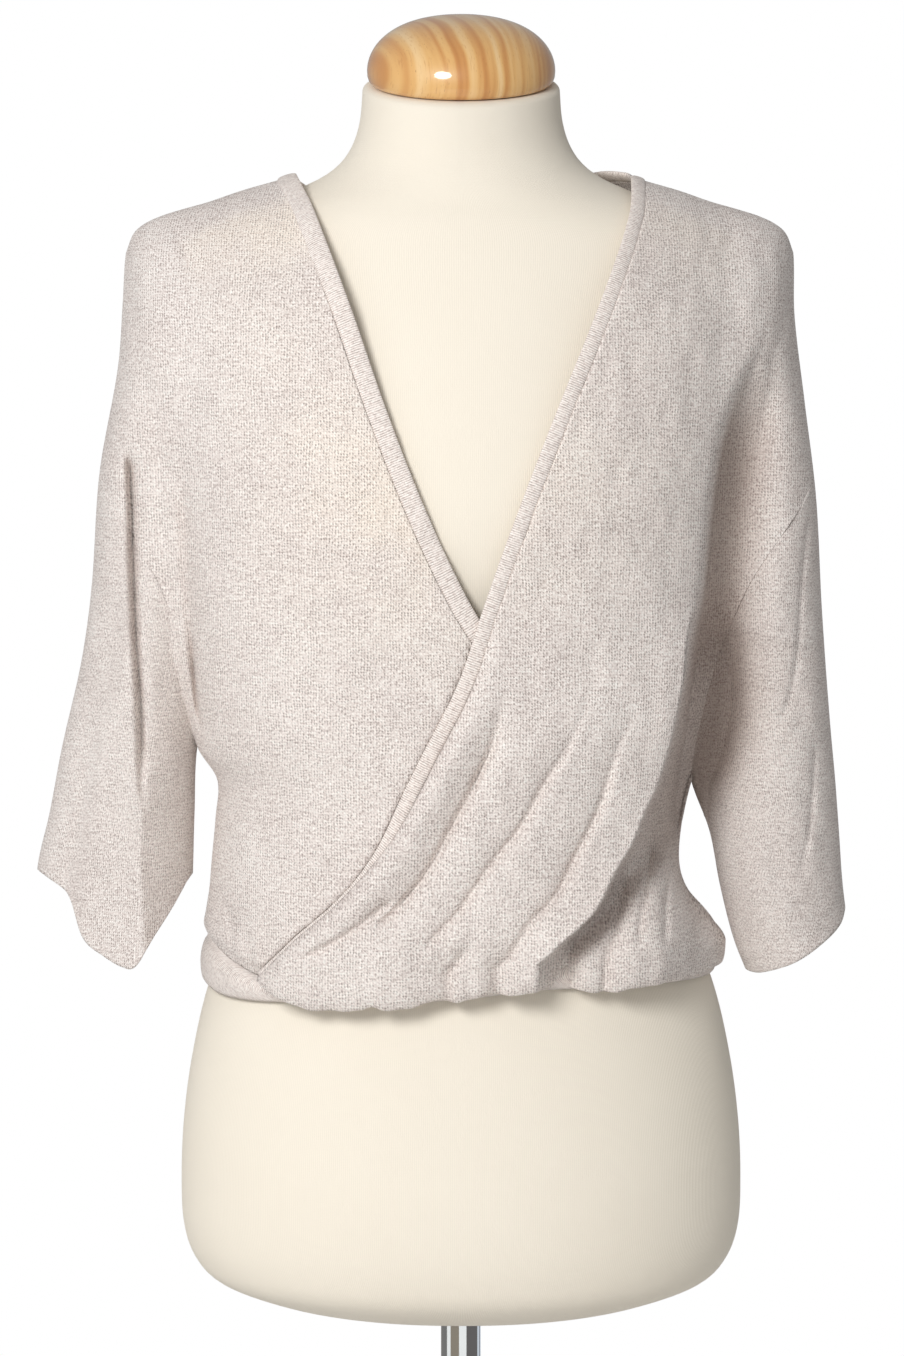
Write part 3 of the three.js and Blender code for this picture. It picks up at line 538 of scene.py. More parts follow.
def surface(name, points, u, v, material, tube="", ends=False, thickness=0, near=None, outward=None):
    """A mesh from a grid of points in millimetres, with its UV map in metres.

    tube: which of u and v runs round, if the columns close on themselves.
    ends: a tube with a face at both ends.
    near: how near the cloth lies to the form, or below 0 how far it lies in a hollow, which the knit
    paints as shade.
    outward: the point that the faces look away from.
    """
    rows, columns = points.shape[:2]
    i, j = np.meshgrid(np.arange(rows - 1), np.arange(columns if tube else columns - 1), indexing="ij")
    corners = [(i, j), (i, j + 1), (i + 1, j + 1), (i + 1, j)]
    quads = np.stack([a * columns + b % columns for a, b in corners], axis=2).reshape(-1, 4)
    if tube:
        girth = lengths(np.concatenate([points, points[:, :1]], axis=1), 1)[:, -1:]
        u = np.concatenate([u, u[:, :1] + (girth if tube == "u" else 0)], axis=1)
        v = np.concatenate([v, v[:, :1] + (girth if tube == "v" else 0)], axis=1)
    uv = np.stack([np.stack([u[a, b], v[a, b]], axis=-1) for a, b in corners], axis=2).reshape(-1, 4, 2)
    flat = points.reshape(-1, 3) * MM
    a, b, c = (flat[quads[:, n]] for n in range(3))
    centre = flat.mean(axis=0) if outward is None else np.asarray(outward) * MM
    away = (a + c) / 2 - centre
    if outward is None:
        away[:, 2] = 0
    way = -1 if np.sum(np.cross(b - a, c - a) * away) < 0 else 1
    faces = quads[:, ::way].tolist()
    uv = uv[:, ::way].reshape(-1, 2) * MM
    if ends:
        first, last = list(range(columns))[::-1], list(range(len(flat)))[-columns:]
        faces += [first[::way], last[::way]]
        uv = np.concatenate([uv, np.zeros((2 * columns, 2))])
    mesh = bpy.data.meshes.new(name)
    mesh.from_pydata(flat.tolist(), [], faces)
    layer = mesh.uv_layers.new(name="UVMap")
    layer.data.foreach_set("uv", uv.astype(np.float32).ravel())
    if near is not None:
        attribute = mesh.attributes.new("near", "FLOAT", "POINT")
        attribute.data.foreach_set("value", near.astype(np.float32).ravel())
    mesh.validate()
    mesh.shade_smooth()
    mesh.materials.append(material)
    obj = add_object(name, mesh)
    if thickness:
        wall = obj.modifiers.new("wall", "SOLIDIFY")
        wall.thickness = thickness * MM
        wall.offset = -1
        wall.use_even_offset = False
    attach(obj, "root")
    return obj


# -------- materials


class Nodes:
    """A short way to write the nodes of a material, or of the world when it has no name."""

    def __init__(self, name=None, shader="BsdfPrincipled"):
        self.owner = bpy.data.materials.new(name) if name else bpy.data.worlds.new("white")
        self.owner.use_nodes = True
        self.tree = self.owner.node_tree
        self.tree.nodes.clear()
        self.shader = self.add(shader)
        self.add("OutputMaterial" if name else "OutputWorld", {0: self.shader.outputs[0]})

    def put(self, socket, value):
        if isinstance(value, bpy.types.NodeSocket):
            self.tree.links.new(value, socket)
        else:
            socket.default_value = value

    def add(self, kind, inputs=None, **settings):
        node = self.tree.nodes.new("ShaderNode" + kind)
        for key, value in settings.items():
            setattr(node, key, value)
        for key, value in (inputs or {}).items():
            self.put(node.inputs[key], value)
        return node

    def math(self, operation, a, b=0.0):
        return self.add("Math", {0: a, 1: b}, operation=operation).outputs[0]

    def times(self, a, b):
        return self.math("MULTIPLY", a, b)

    def plus(self, a, b):
        return self.math("ADD", a, b)

    def minus(self, a, b):
        return self.math("SUBTRACT", a, b)

    def over(self, a, b):
        return self.math("DIVIDE", a, b)

    def saw(self, value):
        """0 at whole numbers, 1 halfway between them."""
        return self.times(self.math("PINGPONG", value, 0.5), 2.0)

    def step(self, value, low, high, out_low=0.0, out_high=1.0, kind="SMOOTHSTEP"):
        return self.add("MapRange", {0: value, 1: low, 2: high, 3: out_low, 4: out_high},
                        interpolation_type=kind).outputs[0]

    def place(self, kind):
        return self.add("TexCoord").outputs[kind]

    def vector(self, x, y, z=0.0):
        return self.add("CombineXYZ", {0: x, 1: y, 2: z}).outputs[0]

    def split(self, vector):
        return self.add("SeparateXYZ", {0: vector}).outputs

    def noise(self, vector, scale, detail=2.0, rough=0.5):
        inputs = {"Vector": vector, "Scale": scale, "Detail": detail, "Roughness": rough}
        return self.add("TexNoise", inputs).outputs[0]

    def blend(self, a, b, t, kind="MIX"):
        return self.add("Mix", {0: t, 6: a, 7: b}, data_type="RGBA", blend_type=kind).outputs[2]

    def ramp(self, value, stops):
        """Colours of 0 to 255 parts at places along a value."""
        node = self.add("ValToRGB", {0: value})
        elements = node.color_ramp.elements
        while len(elements) < len(stops):
            elements.new(0.5)
        for element, (place, *parts) in zip(elements, stops):
            element.position = place
            element.color = rgb(*parts)
        return node.outputs[0]

    def shade(self, **inputs):
        for key, value in inputs.items():
            self.put(self.shader.inputs[key.replace("_", " ")], value)
        return self.owner

    def finish(self, colour, rough, height, distance, strength, **inputs):
        bump = self.add("Bump", {"Height": height, "Distance": distance, "Strength": strength})
        return self.shade(Base_Color=colour, Roughness=rough, Normal=bump.outputs[0], **inputs)

    def finish_yarn(self, colour, uv, gap, distance):
        """Matt, slightly fuzzy yarn with sunken gaps."""
        relief = self.minus(self.times(self.noise(uv, 2600), 0.2), gap)
        rough = self.step(gap, 0.0, 1.0, 0.86, 0.97)
        return self.finish(colour, rough, relief, distance, 0.7, Sheen_Weight=0.12, Sheen_Roughness=0.5,
                           Specular_IOR_Level=0.25)


def rgb(red, green, blue):
    """A colour from 0 to 255 parts as it shows on a screen."""
    parts = []
    for part in (red, green, blue):
        share = part / 255
        parts.append(share / 12.92 if share <= 0.04045 else ((share + 0.055) / 1.055) ** 2.4)
    return (*parts, 1.0)


STITCH = 0.0017         # a wale's width and a course's height, in metres
RIB = 0.00135           # a rib of the bands
BAND_SEED = 5.0
# the painted shade in the gaps between the stitches and between the bands' ribs
GAP_SHADE_COLOUR = rgb(100, 85, 79)


def knit():
    """Plain knit: upright wales of V stitches with small gaps painted dark as shade, in a pale marled
    yarn.
    """
    n = Nodes("knit")
    uv = n.place("UV")
    u, v, _ = n.split(uv)
    wander = n.noise(uv, 40, 2)
    elsewhere = n.add("VectorMath", {0: uv, 1: (3.1, 1.7, 0.0)}, operation="ADD").outputs[0]
    wale = n.plus(n.over(u, STITCH), n.times(wander, 1.6))
    course = n.plus(n.over(v, STITCH), n.times(n.noise(elsewhere, 40, 2), 1.6))
    # each wale is a column of V stitches, so the gaps between them step up and down across it
    middle = n.saw(wale)
    leg = n.plus(course, n.times(middle, 0.5))
    cells = n.add("TexVoronoi", {"Vector": n.vector(wale, leg), "Scale": 1.0, "Randomness": 0.5},
                  voronoi_dimensions="2D")
    stitch = n.split(cells.outputs["Color"])[0]
    openness = n.step(n.noise(uv, 60, 3, 0.7), 0.35, 0.65, 0.8, 1.0)
    gap = n.step(cells.outputs["Distance"], 0.10, 0.46, 1.0, 0.0)
    gap = n.times(gap, n.times(openness, n.step(stitch, 0.0, 0.8, 0.35, 1.0)))
    gap = n.math("MAXIMUM", gap, n.step(middle, 0.5, 1.0, 0.0, 0.34))
    # marled yarn: every course has its own runs of pale and dark fibres
    streak = n.noise(n.vector(u, n.times(v, 4.2)), 95, 3, 0.65)
    fleck = n.noise(n.vector(u, n.times(v, 1.4)), 560, 2, 0.6)
    patch = n.noise(uv, 16, 3, 0.6)
    marl = n.plus(n.times(streak, 0.26), n.times(fleck, 0.60))
    marl = n.plus(marl, n.times(patch, 0.14))
    colour = n.ramp(marl, [
        (0.38, 204, 191, 186), (0.46, 234, 223, 217), (0.53, 248, 239, 233), (0.62, 255, 251, 245),
    ])
    # the cloth is slightly sheer, so it is warmer over the form; off the form it is a little darker, and
    # in the hollows under the arms a painted shade darkens it
    near = n.add("Attribute", attribute_name="near").outputs["Fac"]
    warm = n.times(near, n.step(patch, 0.3, 0.65, 0.35, 1.0))
    colour = n.blend(colour, rgb(250, 232, 204), n.times(warm, 0.62))
    hollow = n.step(near, -1.0, 0.0, 1.0, 0.0)
    shade = n.blend((0.955, 0.955, 0.955, 1), (0.59, 0.535, 0.505, 1), hollow)
    colour = n.blend(colour, shade, n.step(near, 0.0, 0.5, 1.0, 0.0), "MULTIPLY")
    # painted shade in the gaps between the stitches
    colour = n.blend(colour, GAP_SHADE_COLOUR, n.times(gap, 0.68))
    return n.finish_yarn(colour, uv, gap, 0.0004)


def ribbed():
    """The knitted bands: fine ribs across them, with short gaps painted dark as shade. v runs along the
    band.
    """
    n = Nodes("knit_band")
    uv = n.place("UV")
    u, v, _ = n.split(uv)
    rib = n.plus(n.over(v, RIB), n.times(n.noise(uv, 60, 2), 0.9))
    groove = n.step(n.saw(rib), 0.05, 0.7, 1.0, 0.0)
    cell = n.vector(n.math("FLOOR", n.plus(rib, 0.5)), n.math("FLOOR", n.over(u, 0.0022)), BAND_SEED)
    dash = n.add("TexWhiteNoise", {"Vector": cell}).outputs[0]
    gap = n.times(groove, n.step(dash, 0.1, 0.9, 0.55, 1.0))
    streak = n.noise(n.vector(n.times(u, 5.0), n.times(v, 5.0), BAND_SEED), 110, 3, 0.7)
    colour = n.ramp(streak, [
        (0.36, 222, 209, 202), (0.46, 240, 229, 222), (0.56, 250, 241, 234), (0.70, 255, 250, 244),
    ])
    # painted shade in the gaps between the ribs
    colour = n.blend(colour, GAP_SHADE_COLOUR, n.times(gap, 0.55))
    return n.finish_yarn(colour, uv, gap, 0.0003)


def jersey():
    """Smooth cream jersey with fine upright ribs, and painted shade in the grooves between them."""
    n = Nodes("form_jersey")
    uv = n.place("UV")
    u, v, _ = n.split(uv)
    rib = n.saw(n.over(u, 0.00125))
    loop = n.saw(n.over(v, 0.0009))
    height = n.plus(n.times(n.step(rib, 0.0, 0.8), 0.8), n.times(loop, 0.2))
    patch = n.noise(uv, 12, 3)
    colour = n.blend(rgb(242, 233, 217), rgb(246, 238, 223), patch)
    # painted shade: the grooves between the ribs are up to 7% darker
    shade = n.step(height, 0.0, 0.6, 0.93, 1.0)
    groove_shade_grey = n.add("CombineColor", {0: shade, 1: shade, 2: shade}).outputs[0]
    colour = n.blend(colour, groove_shade_grey, 1.0, "MULTIPLY")
    rough = n.step(patch, 0.2, 0.8, 0.86, 0.94)
    return n.finish(colour, rough, height, 0.00015, 0.6, Sheen_Weight=0.1, Specular_IOR_Level=0.25)


def pine():
    """Varnished pine with upright grain."""
    n = Nodes("cap_wood")
    place = n.place("Object")
    x, y, z = n.split(place)
    bend = n.noise(place, 14, 2)
    across = n.plus(n.plus(x, n.times(y, 0.35)), n.times(bend, 0.012))
    rings = n.noise(n.vector(across, 0.0, n.times(z, 0.04)), 95, 2, 0.55)
    fine = n.noise(n.vector(n.times(across, 9.0), n.times(y, 2.0), n.times(z, 0.35)), 160)
    colour = n.ramp(rings, [
        (0.36, 236, 200, 146), (0.5, 226, 178, 112), (0.6, 207, 148, 84), (0.7, 190, 126, 66),
    ])
    colour = n.blend(colour, rgb(196, 138, 80), n.step(fine, 0.56, 0.75, 0.0, 0.5))
    pores = n.noise(n.vector(n.times(across, 6.0), y, n.times(z, 0.6)), 420, 1)
    colour = n.blend(colour, rgb(150, 96, 50), n.step(pores, 0.7, 0.78, 0.0, 0.6))
    rough = n.step(rings, 0.3, 0.7, 0.34, 0.42)
    return n.finish(colour, rough, rings, 0.0001, 0.2, Coat_Weight=1.0, Coat_Roughness=0.06,
                    Coat_IOR=1.5, Specular_IOR_Level=0.4)


def chrome():
    """Polished chrome, faintly smeared."""
    n = Nodes("pole_chrome")
    place = n.place("Object")
    smear = n.noise(place, 40, 3)
    colour = n.blend(rgb(214, 217, 220), rgb(200, 203, 207), smear)
    rough = n.step(smear, 0.3, 0.7, 0.05, 0.12)
    return n.finish(colour, rough, smear, 0.00002, 0.1, Metallic=1.0)


def powder():
    """Pale grey powder coating, finely grained."""
    n = Nodes("base_steel")
    place = n.place("Object")
    grain = n.noise(place, 1600, 3, 0.6)
    cloud = n.noise(place, 9, 2)
    colour = n.blend(rgb(222, 223, 224), rgb(212, 213, 215), cloud)
    rough = n.step(grain, 0.3, 0.7, 0.38, 0.5)
    return n.finish(colour, rough, grain, 0.00012, 0.5, Specular_IOR_Level=0.45)


KNIT, BAND, JERSEY, PINE, CHROME, POWDER = knit(), ribbed(), jersey(), pine(), chrome(), powder()

# -------- the form and its stand


def lathed(name, profile, sides, material):
    """A turned shape from a profile of radius and height."""
    turn = full_turn(sides)
    points = np.array([[(r * math.cos(t), r * math.sin(t), h) for t in turn] for r, h in profile])
    middle = (0, 0, (profile[0][1] + profile[-1][1]) / 2)
    u = np.tile(turn, (len(profile), 1))
    return surface(name, points, u, lengths(points, 0), material, tube="u", outward=middle)


def rounded(profile, steps=6):
    """A profile of radius and height, from rows of radius, height and how round that corner is."""
    out = []
    for k, (r, h, size) in enumerate(profile):
        if not size:
            out.append((r, h))
            continue
        corner = np.array([r, h], float)
        ends = []
        for other in (profile[k - 1], profile[k + 1]):
            way = np.array(other[:2]) - corner
            ends.append(corner + way / np.linalg.norm(way) * size)
        for t in np.linspace(0, 1, steps):
            out.append((1 - t) ** 2 * ends[0] + 2 * t * (1 - t) * corner + t * t * ends[1])
    return out


def make_form():
    """The limbless form, with a rounded rim at the neck and flat ends."""
    rim, inward, sides, hips_z = 4, 5, 240, 285
    quarter = math.pi / 2
    low = TORSO_BOTTOM + 22 * (1 - np.cos(np.linspace(0, quarter, 22)))
    high = NECK_TOP - rim + rim * np.sin(np.linspace(0.15, quarter, 8))
    z = np.concatenate([low, np.linspace(225, NECK_TOP - rim, 230), high])
    inset = inward * (1 - np.sqrt(1 - np.clip((z - (NECK_TOP - rim)) / rim, 0, 1) ** 2))
    shrink = np.concatenate([1 - inset / FORM[-1][1], [0.6, 0.02]])[:, None]
    turns, heights = np.meshgrid(full_turn(sides), np.concatenate([z, [NECK_TOP, NECK_TOP]]))
    width = form["width"](heights)
    power = form["power"](heights)
    x = width * squared(np.cos(turns), 2 / power)
    y = np.where(turns < math.pi, form["back"](heights), -form["front"](heights))
    y = y * oval(x / width, power, form["close"](heights))
    x = x * shrink
    y = y * shrink
    tilt = math.tan(math.radians(NECK_TILT)) * smooth(890, NECK_TOP, heights)
    points = np.stack([x, y, heights + y * tilt], axis=2)
    points = np.concatenate([points[:1] * [0.02, 0.02, 1], points])
    # u is the length round the hips, and v the height in front
    hips = lengths(points, 1)[np.argmin(np.abs(points[:, 0, 2] - hips_z))]
    u = np.tile(hips, (len(points), 1))
    v = np.tile(points[:, sides // 4 * 3, 2:3], (1, sides))
    return surface("dress_form", points, u, v, JERSEY, tube="u", outward=(0, 0, 560))


def make_cap():
    """The turned cap: a short foot, and a dome fuller than half an ellipse."""
    foot = [(5, 0), (2.4, 0.7), (1, 2.5), (0.2, 5)]
    profile = [(0.5, 0)] + [(CAP_RADIUS - inset, h) for inset, h in foot]
    dome_low = 8
    for k in np.linspace(0, 1, 40)[:-1]:
        turn = k * math.pi / 2
        height = dome_low + (CAP_HEIGHT - dome_low) * math.sin(turn)
        profile.append((CAP_RADIUS * math.cos(turn) ** 0.8, height))
    cap = lathed("wooden_cap", profile + [(0.3, CAP_HEIGHT)], 120, PINE)
    seat = Matrix.Translation((0, -CAP_FORWARD * MM, (NECK_TOP - CAP_SUNK) * MM))
    cap.data.transform(seat @ Matrix.Rotation(math.radians(NECK_TILT), 4, "X"))
    return cap


def make_pole():
    low, high = BASE_HEIGHT + POLE_GAP, TORSO_BOTTOM - POLE_GAP
    profile = [(0.3, low, 0), (POLE_RADIUS, low, 0.3), (POLE_RADIUS, high, 0.3), (0.3, high, 0)]
    return lathed("chrome_pole", rounded(profile), 64, CHROME)


def make_base():
    top = BASE_HEIGHT
    profile = [(0.5, 0, 0), (BASE_RADIUS, 0, 2), (BASE_RADIUS, top, 2.5), (0.5, top, 0)]
    return lathed("base_plate", rounded(profile), 160, POWDER)


# -------- the pullover

SIGN = {"left": -1, "right": 1}
ROWS = (84, 62, 46)     # up the side seam, over the armhole and up the overarm


def outline(side):
    """The outer outline of one side, from the hem to the shoulder corner, as x and z."""
    side_rows, armhole_rows, overarm_rows = ROWS
    inner, outer = arm[side]["inner"], arm[side]["outer"]
    z1 = mix(BODY_BOTTOM, armhole[side](0), np.arange(side_rows) / side_rows)
    c = (1 - np.cos(np.arange(armhole_rows) / armhole_rows * math.pi)) / 2
    z2 = armhole[side](c) + ARMHOLE_GAP
    t = np.sin(np.arange(overarm_rows + 1) / overarm_rows * math.pi / 2)
    z3 = mix(armhole[side](1) + ARMHOLE_GAP, SHOULDER_Z, t)
    x = np.concatenate([body[side](z1), mix(inner(z2), outer(z2), c), outer(z3)])
    return SIGN[side] * x, np.concatenate([z1, z2, z3])


def climb(rows):
    """How far each row follows the shoulder line: only the top ones do."""
    return np.linspace(0, 1, rows)[:, None] ** TOP_ROWS


def front_grid(side, edge, fine, coarse):
    """The grid of a front, with fine columns beside its neck edge and coarse ones beyond."""
    share = 0.06
    beyond = mix(share, 1, np.sin(np.linspace(0, math.pi / 2, coarse)))
    s = np.concatenate([np.linspace(0, share, fine, endpoint=False), beyond])
    rim_x, rim_z = outline(side)
    stretch = (NECK_POINT[1] - BODY_BOTTOM) / (SHOULDER_Z - BODY_BOTTOM)
    edge_z = mix(BODY_BOTTOM, rim_z, stretch)
    x = mix(edge(edge_z)[:, None], rim_x[:, None], s)
    crown = shoulder_z(x[-1]) - mix(NECK_POINT[1], SHOULDER_Z, s)
    return x, mix(edge_z[:, None], rim_z[:, None], s) + crown * climb(len(rim_z))


def drawn(x, z, face):
    """The points of a face of the body, and the cloth's nearness to the form, less on the fronts the
    share of painted shade in the hollows.
    """
    side = "back" if face is back_face else "front"
    y = face(x, z)
    gap = np.abs(y) - form_depth(x, z, side)
    beside_form = smooth(0.98, 0.85, np.abs(x) / form["width"](z))
    near = np.exp(-np.maximum(gap - TOUCHING, 0) / CLEAR) * beside_form
    # on the fronts, the painted shade of the hollows is carried as nearness below 0
    if side == "front":
        near = near - hollow_shade_share(x, z)
    return np.stack([x, y, z + hem_slope(x, z)], axis=2), near


def flat_uv(points, side):
    """A UV map from the place on the body: arc lengths across it, and up both sides of its middle."""
    x, z = points[:, :, 0], points[:, :, 2]
    half, wide, high = 275, 2, 4
    xs = np.arange(-half, half + 1.0, wide)
    levels = np.arange(380, 904.0, high)
    grid_x, grid_z = np.meshgrid(xs, levels)
    ys = depth(grid_x, grid_z, side)
    # the steepest cells count for less than they measure
    across = np.hypot(np.diff(grid_x, axis=1), np.clip(np.diff(ys, axis=1), -3 * wide, 3 * wide))
    across = np.cumsum(np.pad(across, [(0, 0), (1, 0)]), axis=1)
    across = across - across[:, xs == 1]
    rise = np.hypot(np.diff(grid_z, axis=0), np.clip(np.diff(ys, axis=0), -2 * high, 2 * high))
    rise = np.cumsum(np.pad(rise, [(1, 0), (0, 0)]), axis=0)[:, (xs == -89) | (xs == 91)].mean(axis=1)
    row = np.clip((z - levels[0]) / high, 0, len(levels) - 1.001)
    column = np.clip((x + half) / wide, 0, len(xs) - 1.001)
    i, j = row.astype(int), column.astype(int)
    a, b = row - i, column - j
    arc = mix(mix(across[i, j], across[i, j + 1], b), mix(across[i + 1, j], across[i + 1, j + 1], b), a)
    return mix(x, arc, 0.6), mix(rise[i], rise[i + 1], a)


def band_depth(x, face):
    """How far the hem band stands in front of (or behind) the side plane."""
    half = by_side(x, HEM_BAND_SIZE["left"], HEM_BAND_SIZE["right"])
    return HEM_BAND_SIZE[face] * oval(x / half, HEM_BAND_POWER, 1 / HEM_BAND_POWER)


def tucked(points, face, share):
    """The lowest rows turned in to meet the hem band. points are x, y and z with the hem's slope."""
    x, y, z = (points[:, :, k] for k in range(3))
    flat_z = z - hem_slope(x, z)
    in_share = smooth(TUCK_TOP, HEM_TOP, flat_z) ** 2 * share
    meet = np.sign(y) * np.minimum(np.abs(y), band_depth(x, face) + 2)
    moved_x = x * (1 - 0.028 * in_share)
    return np.stack([moved_x, mix(y, meet, in_share), flat_z + hem_slope(moved_x, flat_z)], axis=2)


def way_out(x, y, half_sizes):
    """Level unit vectors that look outward from an oval."""
    return unit(np.stack([x / half_sizes[0] ** 2, y / half_sizes[1] ** 2], axis=1))


def roll_rows(lowest, count=22):
    """Rows below the lowest one that fall over the hem band and turn in under it."""
    x, y = lowest[:, 0], lowest[:, 1]
    outward = way_out(x, y, HEM_OVAL)
    fall = roll_fall(x) + 0.6 * undulation(x, 0 * x, 14, 71)
    reach = mix(5, 14, smooth(0, 60, np.abs(y))) * smooth(0, 16, fall)
    whole_turn = 0.82 * math.pi
    rows = []
    for k in range(count, 0, -1):
        turn = k / count * whole_turn
        down = math.sin(min(turn, math.pi / 2)) + 0.45 * min(math.cos(turn), 0)
        moved = lowest.copy()
        moved[:, :2] -= outward * (reach * (1 - math.cos(turn)) / 2)[:, None]
        moved[:, 2] -= fall * down
        rows.append(moved)
    return np.stack(rows)


def side_roll(points):
    """The back's lowest rows, drawn down at the right where the front's blouson runs round to it."""
    rows, drop, pull = 12, 14, 5
    share = smooth(70, 150, points[0, :, 0])
    moved = points.copy()
    for k in range(rows):
        down = (1 - k / rows) ** 2
        moved[k, :, 2] -= drop * share * down
        moved[k, :, 0] -= pull * share * down ** 4
    return moved


def panel(name, points, near, side):
    """One of the body's pieces of cloth."""
    u, v = flat_uv(points, side)
    return surface("knit_" + name, points, u, v, KNIT, thickness=CLOTH, near=near)


def make_over():
    """The over front, and its points without the roll beside the edge, for its neck band."""
    x, z = front_grid("right", over_edge, 14, 150)
    points, near = drawn(x, z, over_front)
    unrolled = np.stack([x, -SIDE_GAP - depth(x, z, "front"), z + hem_slope(x, z)], axis=2)
    roll = roll_rows(points[0])
    points = np.concatenate([roll, points])
    near = np.concatenate([np.repeat(near[:1], len(roll), axis=0), near])
    # over the form, the share of it that shows through; in the hollows, the strength of the painted
    # shade, weaker below 570
    share = np.where(near > 0, OVER_NEAR, mix(OVER_NEAR, 1, smooth(570, 630, points[:, :, 2])))
    return panel("front_over", points, near * share, "front"), unrolled


def make_under():
    """The under front, whose lowest rows turn in only where the over front doesn't cover them."""
    x, z = front_grid("left", under_edge, 10, 104)
    points, near = drawn(x, z, under_front)
    points = tucked(points, "front", smooth(-60, -100, points[:, :, 0]))
    return panel("front_under", points, near, "front"), points


def make_back():
    """The back, in one piece from side seam to side seam."""
    left_x, left_z, right_x, right_z = (line[:, None] for side in SIGN for line in outline(side))
    s = np.sin(np.linspace(-1, 1, 161) * math.pi / 2)
    away = np.abs(s)
    rim_x = by_side(s, left_x, right_x)
    rim_z = by_side(s, left_z, right_z)
    centre_z = mix(BODY_BOTTOM, BACK_NECK_Z, (left_z - BODY_BOTTOM) / (SHOULDER_Z - BODY_BOTTOM))
    x = away * rim_x
    top = np.where(np.abs(x[-1]) < NECK_POINT[0], back_neck(x[-1]), shoulder_z(x[-1]))
    crown = top - mix(BACK_NECK_Z, SHOULDER_Z, away)
    z = mix(centre_z, rim_z, away) + crown * climb(len(left_z))
    points, near = drawn(x, z, back_face)
    points = side_roll(tucked(points, "back", smooth(110, 60, points[:, :, 0])))
    return panel("back", points, near * BACK_NEAR, "back"), points


def make_sleeve(side):
    """A sleeve from its armhole seam down to its cuff. Its columns run round, the front ones first."""
    rows, columns = 120, 200
    column = np.arange(columns)
    c = (1 - np.cos(full_turn(columns))) / 2
    front = column <= columns // 2
    low = np.where(front, cuff[side]["front"](c), cuff[side]["back"](c))
    t = np.linspace(0, 1, rows)[:, None]
    seam = armhole[side](c) + ARMHOLE_GAP * mix(-1, 1, smooth(0.75, 0.95, c))
    z = mix(seam, low, t)
    x = SIGN[side] * mix(arm[side]["inner"](z), arm[side]["outer"](z), c)
    d = np.where(front, side_depth(x, z, side, "front"), side_depth(x, z, side, "back"))
    lift = 0.7 * undulation(x, z, 36, 51) + 0.35 * undulation(x, z, 15, 52)
    for fold in SLEEVE_FOLDS[side]:
        lift = lift - np.where(front, trough(x, z, *fold), 0)
    hollow = valleys(x, z) + (trough(x, z, *LEFT_SLIT) if side == "left" else 0)
    lift = lift * smooth(0, 0.12, t) - SEAM_SINK * smooth(0.05, 0, t) - np.where(front, hollow, 0)
    lift = np.maximum(lift * smooth(0, 14, d), -0.75 * d)
    y = np.where(column % (columns // 2) == 0, 0, SIDE_GAP + d + lift)
    points = np.stack([x, np.where(front, -y, y), z], axis=2)
    u = np.tile(lengths(points, 1)[rows // 2], (rows, 1))
    # the painted shade of the hollows on the sleeve's front, as nearness below 0
    near = np.where(front, -hollow_shade_share(x, z), 0)
    return surface(f"knit_sleeve_{side}", points, u, z, KNIT, tube="u", thickness=CLOTH, near=near,
                   outward=(SIGN[side] * 195, 0, 560))


def smoothed(vectors):
    """Unit vectors, each drawn towards its neighbours."""
    out = vectors.copy()
    out[1:-1] = (vectors[:-2] + 2 * vectors[1:-1] + vectors[2:]) / 4
    return unit(out)


def band_along(which, edge, inner, aside=0, lift=0):
    """A rolled knitted band beside an edge: edge and inner are rows of points, inner lies in the cloth.

    aside and lift move it out from the edge and off the cloth.
    """
    width, thick = NECK_BAND_WIDTH[which], NECK_BAND_THICK[which]
    tangent = unit(np.gradient(edge, axis=0))
    inward = inner - edge
    inward = inward - np.sum(inward * tangent, axis=1)[:, None] * tangent
    outward = -unit(inward)
    normal = np.cross(tangent, outward)
    looks_in = np.sum(normal * edge * [1, 1, 0], axis=1) < 0
    normal = np.where(looks_in[:, None], -normal, normal)
    for _ in range(6):
        outward = smoothed(outward)
        normal = smoothed(normal)
    centre = edge + outward * (width / 2 - BAND_LAP) - normal * 0.2
    centre = centre + outward * np.reshape(aside, (-1, 1)) + normal * np.reshape(lift, (-1, 1))
    sides, power = 22, 0.86
    turn = full_turn(sides)
    wide = squared(np.cos(turn), power) * width / 2
    high = squared(np.sin(turn), power) * thick / 2
    rings = centre[:, None] + outward[:, None] * wide[:, None] + normal[:, None] * high[:, None]
    points = rounded_ends(rings, centre, tangent, thick)
    v = lengths(points, 0)[:, :1] + np.zeros(sides)
    return surface(f"knit_neck_{which}", points, lengths(points, 1), v, BAND, tube="u", ends=True,
                   outward=centre.mean(axis=0))


def rounded_ends(rings, centre, tangent, thick):
    """Rings of points with a few smaller ones beyond each end."""
    start, end = [], []
    for turn in (1.35, 1.0, 0.7, 0.35):
        shrink = math.cos(turn) ** 0.6
        beyond = thick * 0.8 * math.sin(turn)
        start.append(mix(centre[0], rings[0], shrink) - tangent[0] * beyond)
        end.append(mix(centre[-1], rings[-1], shrink) + tangent[-1] * beyond)
    return np.concatenate([start, rings, end[::-1]])


